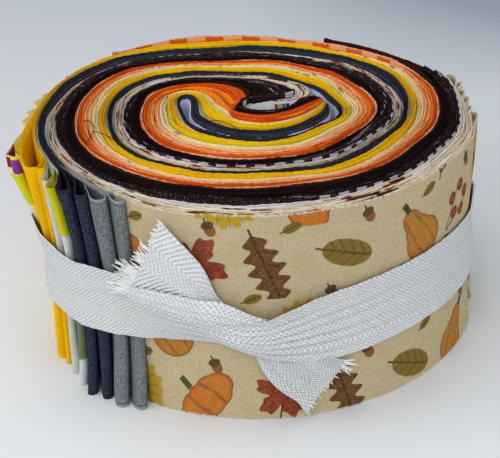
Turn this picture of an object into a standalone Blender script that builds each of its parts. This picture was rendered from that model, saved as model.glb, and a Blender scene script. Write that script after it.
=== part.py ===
# A roll of folded cotton fabric strips, tied round its waist with a cotton tape.
# The strips are stacked as one pile, and the pile is rolled up from one end.
# Tables and sizes are in millimetres and degrees. The roll stands on z = 0 over the origin.
# Angles go round the middle, anticlockwise seen from above, and 270 is the front.
import math

import bmesh
import bpy
import numpy as np
from mathutils import Vector

MM = 0.001
MIDDLE = (-0.4, -1.2)     # the plan point that is set over the origin, in the tables' own frame
STRIP_WIDTH = 63.5        # the 2.5 inch cut width of a strip, which is the roll's height
TURN_GAP = 0.5            # free space between two turns of the pile
CLEAR = 0.4               # what two pieces that lie on each other keep between them
PLY_WALL = 0.8            # thickness of each of the two plies of a loose folded end
SLIT = 0.2                # space between the two plies of an end where it is pressed flat
TAPE_WALL = 1.0           # thickness of the tape
TAPE_CLEAR = 0.45         # free space under the tape
TAPE_REACH = (18, 44)     # heights between which the tape lies on what is inside it
WAIST_HEIGHT = 31.0       # middle of the tape above the base
PINCH_HEIGHT = 11.0       # how far above and below the waist the tape draws things in
WAIST_PINCH = 1.1         # how far the tape draws the wall in
FOOT_FLARE = 1.2          # how far the wall spreads at the base
FLARE_HEIGHT = 9.0
ROLL_STEPS = 3            # sections between two rows of the winding
WALL_LEVELS = (0.0, 3.5, 10.5, 18.5, 31.0, 43.0, 52.0, 60.0)
END_LEVELS = (0.0, 8.0, 18.5, 31.0, 43.0, 54.0, 63.0)

# The pile as it is wound, from its outer end inwards and clockwise seen from above:
# the distances from the middle of the pile's inner face, of the line between its rust
# and its dark plies, and of its outer face. From the second turn on the outer face
# lies against the turn before it, so it is worked out.
WOUND_ROWS = (
    # angle, inner, middle, outer
    (228, 61.4, 62.3, 62.9),
    (225, 60.9, 62.1, 62.7),
    (210, 60.5, 61.8, 62.4),
    (195, 60.4, 62.0, 62.6),
    (180, 60.6, 62.8, 63.4),
    (165, 60.4, 63.9, 64.6),
    (150, 61.0, 65.8, 66.6),
    (135, 60.2, 66.8, 67.8),
    (120, 55.9, 69.0, 69.8),
    (105, 51.0, 68.2, 69.0),
    (90, 50.2, 65.6, 66.4),
    (60, 48.4, 61.4, 62.4),
    (30, 47.4, 60.7, 63.4),
    (15, 46.9, 59.6, 63.8),
    (0, 46.3, 57.4, 63.8),
    (-15, 44.7, 56.0, 65.0),
    (-30, 42.3, 53.5, 66.8),
    (-60, 41.7, 52.4, 67.3),
    (-90, 39.7, 50.0, 66.8),
    (-105, 40.2, 50.3, 65.8),
    (-120, 40.2, 50.4, 63.8),
    (-135, 40.9, 50.8, None),
    (-150, 41.1, 51.4, None),
    (-165, 40.7, 52.0, None),
    (-180, 40.7, 52.2, None),
    (-195, 42.0, 53.5, None),
    (-210, 42.4, 54.3, None),
    (-225, 40.9, 54.0, None),
    (-240, 37.0, 49.0, None),
    (-255, 32.6, 44.2, None),
    (-270, 30.0, 42.4, None),
    (-300, 27.0, 40.3, None),
    (-330, 26.2, 39.0, None),
    (-345, 25.8, 38.9, None),
    (-360, 27.0, 38.8, None),
    (-375, 26.0, 37.1, None),
    (-390, 22.6, 35.1, None),
    (-420, 20.6, 34.7, None),
    (-450, 18.1, 32.5, None),
    (-465, 17.6, 32.4, None),
    (-480, 17.2, 32.5, None),
    (-495, 17.3, 32.8, None),
    (-510, 17.6, 32.6, None),
    (-525, 18.1, 32.6, None),
    (-540, 18.8, 32.7, None),
)

# The core, where the pile folds back on itself round a slim loop and ends beside a hollow.
CORE_ROWS = (
    # inner x, y, middle x, y, outer x, y
    (-20.4, 6.5, -32.4, 8.0, -40.0, 10.4),
    (-20.9, 10.0, -30.6, 16.2, -37.0, 19.6),
    (-20.3, 12.2, -27.0, 20.8, -30.3, 27.0),
    (-19.3, 12.9, -20.5, 23.9, -22.0, 30.2),
    (-18.4, 12.2, -13.0, 24.3, -10.0, 30.8),
    (-18.0, 9.8, -7.0, 23.0, 0.0, 29.3),
    (-17.9, 6.0, -3.6, 20.4, 8.0, 26.5),
    (-17.9, 2.0, -1.9, 18.0, 14.3, 21.9),
    (-17.7, -1.5, -1.2, 16.0, 18.0, 17.2),
    (-16.7, -4.8, -0.9, 14.6, 17.2, 14.6),
    (-14.5, -8.3, -0.8, 13.0, 12.5, 13.4),
    (-11.7, -11.6, -1.6, 10.8, 5.0, 12.8),
    (-8.6, -13.7, -3.6, 8.3, 0.4, 10.2),
    (-5.2, -15.6, -5.2, 5.2, -0.8, 6.4),
    (-1.5, -16.9, -4.6, 2.2, 0.2, 4.2),
    (2.5, -17.2, -2.0, -0.2, 2.0, 2.9),
    (6.5, -17.0, 2.5, -1.8, 5.0, 2.3),
    (10.5, -16.0, 7.5, -1.7, 8.0, 2.4),
    (15.0, -13.3, 12.0, 0.0, 10.8, 3.7),
    (19.2, -9.4, 15.6, 2.9, 13.0, 6.2),
    (22.4, -3.5, 18.1, 6.5, 15.3, 9.4),
    (21.9, 8.6, 20.0, 11.4, 18.4, 12.2),
)

# Loose folded ends that lie on the wall one past the other, like shingles.
# Each leaves the wall at its root angle and ends in its fold, lean further round at the base.
# under says how many thicknesses of the next end its fold lies over. The lifts are how
# far the fold stands off at the top and at the base, where the tape doesn't press it in.
END_ROWS = (
    # name, root angle, fold angle, lean, under, top lift, foot lift, width, colour
    ("end_grey_front", 231.5, 236.0, 4.5, 0.00, 0.2, 1.0, 3.6, "grey"),
    ("end_grey_back", 226.0, 231.5, 4.5, 1.02, 0.3, 0.3, 3.6, "grey"),
    ("end_navy_front", 221.5, 226.8, 4.5, 1.48, 0.7, 0.5, 3.6, "navy"),
    ("end_navy_back", 217.5, 223.0, 4.5, 1.80, 1.6, 1.6, 3.6, "navy"),
    ("end_lime", 213.0, 218.8, 4.0, 1.54, 2.2, 1.6, 3.2, "lime"),
    ("end_white", 209.2, 214.4, 3.5, 1.48, 1.9, 1.1, 3.0, "white"),
    ("end_yellow_front", 205.2, 210.2, 2.5, 1.32, 1.8, 0.5, 2.8, "yellow"),
    ("end_yellow_back", 198.0, 206.4, 1.8, 1.36, 1.7, 0.5, 3.2, "yellow"),
    ("end_pale_yellow", 178.0, 192.0, 2.0, 0.00, 7.0, 0.6, 2.6, "pale"),
    ("end_check", 124.0, 130.5, 0.0, 0.00, 0.4, 0.4, 2.6, "orange"),
    ("end_brown", 58.0, 63.0, 0.0, 0.00, 0.8, 0.8, 2.4, "brown"),
    ("end_cream_back", 9.0, 14.8, 0.0, 0.00, 0.2, 0.2, 2.8, "cream"),
    ("end_cream_middle", 3.2, 9.0, 0.0, 1.02, 0.1, 0.1, 2.6, "cream"),
    ("end_cream_front", -2.8, 3.2, 0.0, 1.06, 0.1, 0.1, 2.6, "cream"),
)

# The tape's course round the waist. Between 255 and 290 it is gathered and half-knotted.
TAPE_ROWS = (
    # angle, middle height, half of its height, thickness
    (0, 29.5, 10.5, 1.0),
    (90, 30.0, 10.5, 1.0),
    (180, 31.0, 10.2, 1.0),
    (215, 32.0, 10.0, 1.0),
    (232, 32.6, 9.9, 1.0),
    (244, 33.4, 9.0, 1.2),
    (253, 33.0, 7.0, 1.8),
    (262, 31.2, 5.6, 3.2),
    (268, 28.4, 6.2, 4.4),
    (274, 26.4, 6.6, 4.4),
    (280, 27.2, 8.8, 3.0),
    (286, 27.9, 10.1, 1.8),
    (292, 28.4, 10.6, 1.2),
    (302, 29.4, 10.7, 1.0),
    (317, 30.0, 10.7, 1.0),
    (340, 29.5, 10.6, 1.0),
)

# The two free ends of the tape, from the knot outwards: one edge, the other edge, and
# how far the cloth stands out from the tape's inner face.
LEFT_TAPE_END = (
    # angle, height, angle, height, stand
    (266.5, 26.5, 267.0, 33.5, 2.6),
    (262.0, 28.6, 263.6, 38.0, 3.2),
    (256.0, 30.6, 260.6, 44.0, 3.6),
    (249.0, 32.8, 256.6, 52.0, 3.8),
    (241.0, 35.8, 252.2, 58.6, 3.8),
    (232.4, 39.0, 247.4, 64.6, 3.6),
)
RIGHT_TAPE_END = (
    (269.0, 25.5, 282.0, 26.0, 1.4),
    (270.3, 19.6, 288.0, 18.5, 1.6),
    (272.2, 14.0, 289.6, 13.8, 2.2),
    (275.5, 9.8, 287.6, 9.0, 2.9),
    (278.8, 6.0, 286.2, 5.2, 3.2),
    (280.8, 1.2, 286.8, 1.2, 3.4),
)

COLOURS = {
    "cream": (0.66, 0.52, 0.36),
    "grey": (0.33, 0.35, 0.37),
    "navy": (0.05, 0.06, 0.09),
    "lime": (0.62, 0.66, 0.3),
    "white": (0.75, 0.75, 0.7),
    "yellow": (0.85, 0.5, 0.03),
    "pale": (0.8, 0.76, 0.5),
    "orange": (0.78, 0.3, 0.08),
    "brown": (0.07, 0.03, 0.02),
    "tape": (0.8, 0.82, 0.84),
}


def smooth(rows, steps):
    """A Catmull-Rom curve through the rows, with the given number of steps in each span."""
    points = np.asarray(rows, dtype=float)
    before = np.vstack([2 * points[0] - points[1], points[:-1]])
    after = np.vstack([points[1:], 2 * points[-1] - points[-2]])
    tangent = (after - before) / 2
    parts = []
    for step in range(steps):
        u = step / steps
        start = (2 * u ** 3 - 3 * u ** 2 + 1) * points[:-1] + (u ** 3 - 2 * u ** 2 + u) * tangent[:-1]
        finish = (3 * u ** 2 - 2 * u ** 3) * points[1:] + (u ** 3 - u ** 2) * tangent[1:]
        parts.append(start + finish)
    curve = np.stack(parts, axis=1).reshape(-1, points.shape[1])
    return np.vstack([curve, points[-1]])


def plan(angle, radius):
    """The plan point at an angle and a distance from the middle."""
    return np.array((radius * math.cos(math.radians(angle)), radius * math.sin(math.radians(angle))))


def near_waist(z):
    """1 under the middle of the tape, falling to 0 above and below it."""
    return math.exp(-((z - WAIST_HEIGHT) / PINCH_HEIGHT) ** 2)


def wall_shift(z):
    """How far the outer wall moves out at a height: in under the tape, out at the base."""
    return FOOT_FLARE * math.exp(-z / FLARE_HEIGHT) - WAIST_PINCH * near_waist(z)


def make_mesh(name, points, faces):
    """One closed mesh in metres, with its faces turned outwards."""
    mesh = bpy.data.meshes.new(name)
    places = [(MM * (x - MIDDLE[0]), MM * (y - MIDDLE[1]), MM * z) for x, y, z in points]
    mesh.from_pydata(places, [], faces)
    work = bmesh.new()
    work.from_mesh(mesh)
    bmesh.ops.recalc_face_normals(work, faces=work.faces)
    work.to_mesh(mesh)
    work.free()
    mesh.shade_smooth()
    mesh.set_sharp_from_angle(angle=math.radians(35))
    return mesh


def add_piece(name, mesh, colour):
    """One sub-part with its own Principled material."""
    material = bpy.data.materials.new("cloth_" + name)
    material.use_nodes = True
    shader = material.node_tree.nodes["Principled BSDF"]
    shader.inputs["Base Color"].default_value = (*COLOURS[colour], 1.0)
    shader.inputs["Roughness"].default_value = 0.9
    shader.inputs["Metallic"].default_value = 0.0
    mesh.materials.append(material)
    piece = bpy.data.objects.new(name, mesh)
    bpy.context.scene.collection.objects.link(piece)
    return piece


def ring_faces(rings, size, closed=False):
    """Quads between rings of equal size. Open stacks get a cap at each end."""
    faces = []
    for i in range(rings if closed else rings - 1):
        j = (i + 1) % rings
        for k in range(size):
            m = (k + 1) % size
            faces.append((i * size + k, i * size + m, j * size + m, j * size + k))
    if not closed:
        faces.append(tuple(range(size - 1, -1, -1)))
        faces.append(tuple(range((rings - 1) * size, rings * size)))
    return faces


def pile_rows():
    """All rows of the pile as plan points: inner x, y, middle x, y, outer x, y."""
    inner_at = {row[0]: row[1] for row in WOUND_ROWS}
    rows = []
    for angle, inner, middle, outer in WOUND_ROWS:
        if outer is None:
            outer = inner_at[angle + 360] - TURN_GAP
        rows.append((*plan(angle, inner), *plan(angle, middle), *plan(angle, outer)))
    rows.extend(CORE_ROWS)
    return rows


def wall_radius(angle, z):
    """Distance of the roll's outer wall at an angle and a height."""
    first_turn = [row for row in WOUND_ROWS if row[3] is not None]
    angles = [row[0] for row in first_turn][::-1]
    outers = [row[3] for row in first_turn][::-1]
    if angle > angles[-1]:
        angle -= 360
    return float(np.interp(angle, angles, outers)) + wall_shift(z)


def build_roll():
    """The wound pile: the pile's section carried along its winding into the core."""
    angles = [row[0] for row in WOUND_ROWS]
    rows = smooth(pile_rows(), ROLL_STEPS)
    points = []
    for i, row in enumerate(rows):
        inner, middle, outer = row[0:2], row[2:4], row[4:6]
        angle = np.interp(i / ROLL_STEPS, np.arange(len(angles)), angles)
        shown = float(np.clip((angle + 130) / 25, 0, 1))
        out = shown * outer / np.hypot(*outer)
        wave = 0.4 * math.sin(0.31 * i) + 0.2 * math.sin(0.83 * i + 1.0)
        points.append((*inner, 0.0))
        points.append((*middle, 0.0))
        points.extend((*(outer + out * wall_shift(z)), z) for z in WALL_LEVELS)
        points.append((*(outer + out * wall_shift(STRIP_WIDTH)), STRIP_WIDTH + 0.3 * wave))
        points.append((*middle, STRIP_WIDTH + 0.2 + wave))
        points.append((*inner, STRIP_WIDTH - 0.2 - 0.5 * wave))
    faces = ring_faces(len(rows), len(points) // len(rows))
    return add_piece("roll", make_mesh("roll", points, faces), "cream")


def end_section(root_angle, fold_angle, root_radius, fold_radius, width):
    """Plan outline of a folded end: out along one ply, round the fold, back, and inside again."""
    root_half = PLY_WALL + SLIT / 2
    centres = []
    halves = []
    for u in (0.0, 0.35, 0.7, 1.0):
        centres.append(plan(root_angle + (fold_angle - root_angle) * u,
                            root_radius + (fold_radius - root_radius) * u))
        halves.append(root_half + (width / 2 - root_half) * u)
    rim = []
    lining = []
    for k, centre in enumerate(centres):
        ahead = centres[min(k + 1, 3)] - centres[max(k - 1, 0)]
        ahead = ahead / np.hypot(*ahead)
        side = np.array((ahead[1], -ahead[0]))
        rim.append((centre, side, halves[k]))
        lining.append((centre, side, halves[k] - PLY_WALL))
    outline = [c + s * h for c, s, h in rim]
    for turn in (30, 60, 90, 120, 150):
        a = math.radians(turn)
        outline.append(centres[3] + halves[3] * (side * math.cos(a) + ahead * math.sin(a)))
    outline += [c - s * h for c, s, h in rim[::-1]]
    outline += [c - s * h for c, s, h in lining]
    for turn in (135, 90, 45):
        a = math.radians(turn)
        outline.append(centres[3] + lining[3][2] * (side * math.cos(a) + ahead * math.sin(a)))
    outline += [c + s * h for c, s, h in lining[::-1]]
    return outline


def end_rings(root_angle, fold_angle, lean, under, top_lift, foot_lift, width):
    """The outline of a folded end at each height, pressed flat under the tape."""
    flat = 2 * PLY_WALL + SLIT
    rings = []
    for z in END_LEVELS:
        pressed = near_waist(z)
        turn = lean * (1 - z / STRIP_WIDTH)
        wide = width + (flat + 0.2 - width) * pressed
        root_radius = wall_radius(root_angle + turn, z) + CLEAR + flat / 2
        seat = wall_radius(fold_angle + turn, z) + CLEAR + under * (flat + CLEAR)
        lift = top_lift if z > WAIST_HEIGHT else foot_lift
        fold_radius = seat + wide / 2 + lift * (1 - pressed)
        rings.append(end_section(root_angle + turn, fold_angle + turn, root_radius, fold_radius, wide))
    return rings


def waist_hull(places):
    """The corners of the tightest loop round a set of plan points, anticlockwise."""
    points = sorted((float(x), float(y)) for x, y in places)
    sides = []
    for run in (points, points[::-1]):
        side = []
        for p in run:
            while len(side) > 1:
                (ax, ay), (bx, by) = side[-2], side[-1]
                if (bx - ax) * (p[1] - ay) - (by - ay) * (p[0] - ax) > 0:
                    break
                side.pop()
            side.append(p)
        sides.extend(side[:-1])
    return np.array(sides)


def hull_radius(hull, angle):
    """Distance from the middle to the hull's edge in one direction."""
    ray = plan(angle, 1.0)
    best = 0.0
    for a, b in zip(hull, np.roll(hull, -1, axis=0)):
        edge = b - a
        cross = ray[0] * edge[1] - ray[1] * edge[0]
        if abs(cross) < 1e-9:
            continue
        along = (a[0] * edge[1] - a[1] * edge[0]) / cross
        part = (a[0] * ray[1] - a[1] * ray[0]) / cross
        if along > 0 and -1e-6 <= part <= 1 + 1e-6:
            best = max(best, along)
    return best


def tape_mesh(radius_at):
    """The tape round the waist, a closed band that thickens into the knot in front."""
    table = np.array([(row[0] + turn, *row[1:]) for turn in (-360, 0, 360) for row in TAPE_ROWS])
    angles = list(range(0, 228, 6)) + list(range(228, 300, 3)) + list(range(300, 360, 6))
    points = []
    for angle in angles:
        middle, half, thick = (np.interp(angle, table[:, 0], table[:, k]) for k in (1, 2, 3))
        inner = radius_at(angle)
        for step in (-1, -0.5, 0, 0.5, 1):
            points.append((*plan(angle, inner), middle + step * half))
        for step in (1, 0.5, 0, -0.5, -1):
            crown = TAPE_WALL + (thick - TAPE_WALL) * math.sqrt(1 - 0.8 * step ** 2)
            points.append((*plan(angle, inner + crown), middle + step * half))
    return make_mesh("tape_band", points, ring_faces(len(angles), 10, closed=True))


def tape_end_mesh(name, rows, radius_at):
    """A free end of the tape: a bent sheet from the knot outwards."""
    table = smooth(rows, 2)
    points = []
    for a0, z0, a1, z1, stand in table:
        front = []
        back = []
        for step in range(5):
            u = step / 4
            angle = a0 + (a1 - a0) * u
            z = z0 + (z1 - z0) * u
            radius = radius_at(angle) + stand + 0.35 * math.sin(math.pi * u)
            front.append((*plan(angle, radius + TAPE_WALL), z))
            back.append((*plan(angle, radius), z))
        points.extend(front + back[::-1])
    return make_mesh(name, points, ring_faces(len(table), 10))


def build_tie(waist_points):
    """The whole tape as one body: the band with its knot, and the two free ends."""
    hull = waist_hull(waist_points)
    marks = np.arange(0.0, 360.0, 1.5)
    reach = np.array([hull_radius(hull, a) for a in marks]) + TAPE_CLEAR
    reach = np.max([np.roll(reach, 1), reach, np.roll(reach, -1)], axis=0)

    def radius_at(angle):
        return float(np.interp(angle % 360, np.append(marks, 360.0), np.append(reach, reach[0])))

    tie = add_piece("tie", tape_mesh(radius_at), "tape")
    for name, rows in (("tape_end_left", LEFT_TAPE_END), ("tape_end_right", RIGHT_TAPE_END)):
        guide = bpy.data.objects.new(name, tape_end_mesh(name, rows, radius_at))
        guide.hide_render = True
        guide.display_type = "WIRE"
        bpy.context.scene.collection.objects.link(guide)
        join = tie.modifiers.new("join_" + name, "BOOLEAN")
        join.operation = "UNION"
        join.object = guide
    return tie


def main():
    for obj in list(bpy.data.objects):
        bpy.data.objects.remove(obj, do_unlink=True)
    roll = build_roll()
    waist_points = [v.co.xy / MM + Vector(MIDDLE) for v in roll.data.vertices
                    if TAPE_REACH[0] < v.co.z / MM < TAPE_REACH[1]]
    for name, *sizes, colour in END_ROWS:
        rings = end_rings(*sizes)
        points = [(*p, z) for ring, z in zip(rings, END_LEVELS) for p in ring]
        add_piece(name, make_mesh(name, points, ring_faces(len(rings), len(rings[0]))), colour)
        waist_points.extend(p for ring, z in zip(rings, END_LEVELS)
                            if TAPE_REACH[0] < z < TAPE_REACH[1] for p in ring)
    build_tie(waist_points)


main()
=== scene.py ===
import bpy
import numpy as np
from mathutils import Matrix, Vector


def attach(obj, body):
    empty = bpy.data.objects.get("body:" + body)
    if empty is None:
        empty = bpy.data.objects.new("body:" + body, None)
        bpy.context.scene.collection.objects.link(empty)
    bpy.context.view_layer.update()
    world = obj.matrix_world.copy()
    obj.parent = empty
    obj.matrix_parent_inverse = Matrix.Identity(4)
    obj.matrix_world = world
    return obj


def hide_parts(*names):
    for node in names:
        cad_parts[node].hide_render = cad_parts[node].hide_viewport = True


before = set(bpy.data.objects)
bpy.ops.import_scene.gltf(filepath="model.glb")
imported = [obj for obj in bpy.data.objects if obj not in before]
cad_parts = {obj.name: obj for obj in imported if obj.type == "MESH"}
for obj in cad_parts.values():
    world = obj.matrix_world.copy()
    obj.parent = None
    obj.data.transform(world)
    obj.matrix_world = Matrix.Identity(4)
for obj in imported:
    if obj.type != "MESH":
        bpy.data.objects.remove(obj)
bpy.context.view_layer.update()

mm = 0.001
middle = (-0.4, -1.2)          # mm: the plan point that stands over the origin
stripWidth = 63.5              # mm, the cut width of every strip
waistHeight = 31.0             # mm, the height of the tape's middle


def meshObject(name, parts, material, wrap=0.0):
    # Parts are points in mm, faces, UVs in mm of cloth and tones, put end to end in one mesh that
    # stands over the origin. A face over a ring's seam reads on past the ring's length, wrap.
    faces = []
    start = 0
    for points, partFaces, _, _ in parts:
        faces += [[n + start for n in f] for f in partFaces]
        start += len(points)
    place = (np.concatenate([p[0] for p in parts]) - (*middle, 0.0)) * mm
    mesh = bpy.data.meshes.new(name)
    mesh.from_pydata(place.tolist(), [], faces)
    corners = np.zeros(len(mesh.loops), np.int32)
    mesh.loops.foreach_get("vertex_index", corners)
    uv = np.concatenate([p[2] for p in parts]).astype(np.float32)[corners]
    if wrap:
        starts = np.zeros(len(mesh.polygons), np.int32)
        mesh.polygons.foreach_get("loop_start", starts)
        furthest = np.maximum.reduceat(uv[:, 0], starts)
        furthest = np.repeat(furthest, np.diff(np.append(starts, len(corners))))
        uv[:, 0] += wrap * (furthest - uv[:, 0] > wrap / 2)
    mesh.uv_layers.new(name="cloth").uv.foreach_set("vector", uv.ravel())
    tone = np.concatenate([np.full(len(p[0]), p[3]) for p in parts]).astype(np.float32)
    mesh.attributes.new("tone", "FLOAT", "POINT").data.foreach_set("value", tone)
    mesh.validate()
    mesh.shade_smooth()
    mesh.set_sharp_from_angle(angle=np.radians(42))    # cut edges stay sharp, folds smooth
    mesh.materials.append(material)
    piece = bpy.data.objects.new(name, mesh)
    bpy.context.scene.collection.objects.link(piece)
    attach(piece, "root")
    return piece


def gridFaces(rows, cols, ringRows=False, ringCols=False):
    # the four-cornered faces of a grid of points counted row by row, closed on itself or not
    k = np.arange(rows if ringRows else rows - 1)[:, None]
    i = np.arange(cols if ringCols else cols - 1)[None]
    near, far = k * cols, (k + 1) % rows * cols
    after = (i + 1) % cols
    return np.stack([near + i, near + after, far + after, far + i], axis=2).reshape(-1, 4)


def unit(vectors):
    return vectors / (np.linalg.norm(vectors, axis=-1, keepdims=True) + 1e-9)


def ease(x):
    x = np.clip(x, 0, 1)
    return x * x * (3 - 2 * x)


def bell(x):
    return np.exp(-x * x)


def curveThrough(rows, steps):
    # Catmull-Rom: each span blends its two rows with half the difference of their neighbours
    points = np.asarray(rows, float)
    before = np.vstack([2 * points[0] - points[1], points[:-1]])
    after = np.vstack([points[1:], 2 * points[-1] - points[-2]])
    slope = (after - before) / 2
    u = np.linspace(0, 1, steps, endpoint=False)[None, :, None]
    a, b = points[:-1, None], points[1:, None]
    p, q = slope[:-1, None], slope[1:, None]
    curve = (2 * u**3 - 3 * u**2 + 1) * a + (u**3 - 2 * u**2 + u) * p
    curve = curve + (3 * u**2 - 2 * u**3) * b + (u**3 - u**2) * q
    return np.vstack([curve.reshape(-1, points.shape[1]), points[-1:]])


def runningLength(points):
    return np.concatenate([[0], np.cumsum(np.linalg.norm(np.diff(points, axis=0), axis=1))])


def wander(length, seed, reach):
    # smooth noise along a length in mm: the sum of three sines of random start, about -1 to 1
    rng = np.random.default_rng(seed)
    x = np.asarray(length, float)
    return sum(np.sin(x / (reach * k) * 2 * np.pi + rng.uniform(0, 6.3)) * w
               for k, w in ((1.0, 0.5), (0.43, 0.3), (0.19, 0.2)))


# finishes


class Field:
    # a number that shader nodes work out, so that a pattern can be written as its formula
    def __init__(self, tree, socket):
        self.tree, self.socket = tree, socket

    def apply(self, operation, *others, clamp=False):
        node = self.tree.nodes.new("ShaderNodeMath")
        node.operation = operation
        node.use_clamp = clamp
        for place, value in enumerate((self, *others)):
            if isinstance(value, Field):
                self.tree.links.new(value.socket, node.inputs[place])
            else:
                node.inputs[place].default_value = value
        return Field(self.tree, node.outputs[0])

    def __rsub__(self, other):
        return self * -1.0 + other

    def root(self):
        return self.most(0.0).apply("SQRT")

    def under(self, edge, soft):
        # 1 where this is less than the edge, 0 where it is more, and soft between
        return ((self - edge) * (-1.0 / soft)).apply("ADD", 0.5, clamp=True)

    def near(self, place, half, soft):
        # 1 within half of a place
        return (self - place).abs().under(half, soft)

    def past(self, least, gain):
        # 0 up to a least value, and from there rising to 1
        return (self - least).apply("MULTIPLY", gain, clamp=True)


for name, operation in (("__add__", "ADD"), ("__sub__", "SUBTRACT"), ("__mul__", "MULTIPLY"),
                        ("__truediv__", "DIVIDE"), ("__mod__", "FLOORED_MODULO"), ("sin", "SINE"),
                        ("cos", "COSINE"), ("abs", "ABSOLUTE"), ("floor", "FLOOR"),
                        ("least", "MINIMUM"), ("most", "MAXIMUM")):
    setattr(Field, name, lambda self, *others, how=operation: self.apply(how, *others))


def size(x, y):
    return (x * x + y * y).root()


def mixColours(tree, under, over, mask):
    # one colour laid over another where the mask is 1; either may come from another node
    node = tree.nodes.new("ShaderNodeMix")
    node.data_type = "RGBA"
    tree.links.new(mask.socket, node.inputs["Factor"])
    for socket, colour in zip([i for i in node.inputs if i.type == "RGBA"], (under, over)):
        if isinstance(colour, tuple):
            socket.default_value = (*colour, 1)
        else:
            tree.links.new(colour, socket)
    return [o for o in node.outputs if o.type == "RGBA"][0]


class Finish:
    # one cloth's material: its colour is built up in layers over its relief
    def __init__(self, name, colour, roughness=0.9, sheen=0.04):
        self.material = bpy.data.materials.new(name)
        self.material.use_nodes = True
        self.tree = self.material.node_tree
        self.shader = self.tree.nodes["Principled BSDF"]
        for socket, value in (("Roughness", roughness), ("Sheen Weight", sheen),
                              ("Specular IOR Level", 0.06), ("Base Color", (*colour, 1))):
            self.shader.inputs[socket].default_value = value
        self.colour = colour
        uv = self.tree.nodes.new("ShaderNodeUVMap")
        uv.uv_map = "cloth"
        split = self.tree.nodes.new("ShaderNodeSeparateXYZ")
        self.tree.links.new(uv.outputs[0], split.inputs[0])
        self.uv = uv.outputs[0]
        self.u, self.v = Field(self.tree, split.outputs[0]), Field(self.tree, split.outputs[1])
        tone = self.tree.nodes.new("ShaderNodeAttribute")
        tone.attribute_name = "tone"
        self.tone = Field(self.tree, tone.outputs["Fac"])

    def noise(self, scaleU, scaleV, detail=2.0, shift=0.0):
        # soft noise in mm of cloth, stretched by the two scales, 0 to 1
        place = self.tree.nodes.new("ShaderNodeMapping")
        place.inputs["Location"].default_value = (shift, shift * 1.7, shift * 0.3)
        place.inputs["Scale"].default_value = (scaleU, scaleV, 1.0)
        self.tree.links.new(self.uv, place.inputs[0])
        node = self.tree.nodes.new("ShaderNodeTexNoise")
        node.inputs["Scale"].default_value = 1.0
        node.inputs["Detail"].default_value = detail
        self.tree.links.new(place.outputs[0], node.inputs["Vector"])
        return Field(self.tree, node.outputs["Fac"])

    def blots(self, scaleU, scaleV, detail, gain, cover, shift=0.0):
        # patches of noise, harder with the gain and larger with the cover
        noise = self.noise(scaleU, scaleV, detail, shift)
        return ((noise - 0.5) * gain).apply("ADD", cover, clamp=True)

    def paint(self, colour, mask):
        self.colour = mixColours(self.tree, self.colour, colour, mask)

    def relief(self, height, depth):
        node = self.tree.nodes.new("ShaderNodeBump")
        node.inputs["Strength"].default_value = 1.0
        node.inputs["Distance"].default_value = depth * mm
        self.tree.links.new(height.socket, node.inputs["Height"])
        self.tree.links.new(node.outputs[0], self.shader.inputs["Normal"])

    def weave(self, pitch=0.36, depth=0.07):
        # plain weave: threads over and under as the product of two sines, with thick and thin
        # threads both ways from noise stretched along them
        k = np.pi / pitch
        thick = self.noise(0.12, 2.6, 1.0, 3.0) + self.noise(2.6, 0.12, 1.0, 7.0)
        self.relief((self.u * k).sin() * (self.v * k).sin() + thick * 1.5, depth)
        return thick

    def rim(self, reach, soft):
        # 1 within a reach in mm of the upper and lower edges
        return 1.0 - self.v.near(stripWidth / 2, stripWidth / 2 - reach, soft)

    def top(self, reach=0.9, soft=0.3):
        return (63.4 - self.v).under(reach, soft)

    def cutEdge(self, colour, cover=0.6, reach=0.5):
        # the raw edges at the top and foot show the threads' own colour, broken by noise
        self.paint(colour, self.rim(reach, 0.4) * self.blots(1.1, 0.4, 2.0, 3.0, cover, 11.0))

    def done(self):
        self.tree.links.new(self.colour, self.shader.inputs["Base Color"])
        return self.material


def plainCloth(name, colour, other, mottle=0.5, grain=0.9, edge=None, cover=0.4, inner=None):
    # dyed or marbled cotton: blotches of a second colour from noise, then the weave, and another
    # shade towards the strip's two inner ends, where the tone is low
    finish = Finish(name, colour, sheen=0.02 if min(colour) > 0.1 else 0.0)
    finish.paint(other, finish.blots(grain, grain, 3.0, 3.0, 0.5) * mottle)
    finish.weave()
    if edge:
        finish.cutEdge(edge, cover)
    if inner:
        finish.paint(inner, finish.tone.under(0.80, 0.2))
    return finish.done()


def chambray(name, dark, light, share, edge, foldEdge=None):
    # yarns of two shades: short pale floats along and across, out of two stretched noises; both
    # edges have their own colour by the fold, where the tone is one
    finish = Finish(name, dark, sheen=0.0)
    floats = finish.noise(1.5, 5.5, 1.0).most(finish.noise(5.5, 1.5, 1.0, 5.0))
    finish.paint(light, ((floats - 0.5) * 4.0).apply("ADD", 0.30, clamp=True) * share)
    finish.weave(0.38, 0.10)
    finish.cutEdge(edge, 1.2, 1.2)
    if foldEdge:
        finish.paint(foldEdge, finish.rim(0.85, 0.8) * (0.5 - finish.tone).under(0.0, 0.4) * 0.85)
    return finish.done()


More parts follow.
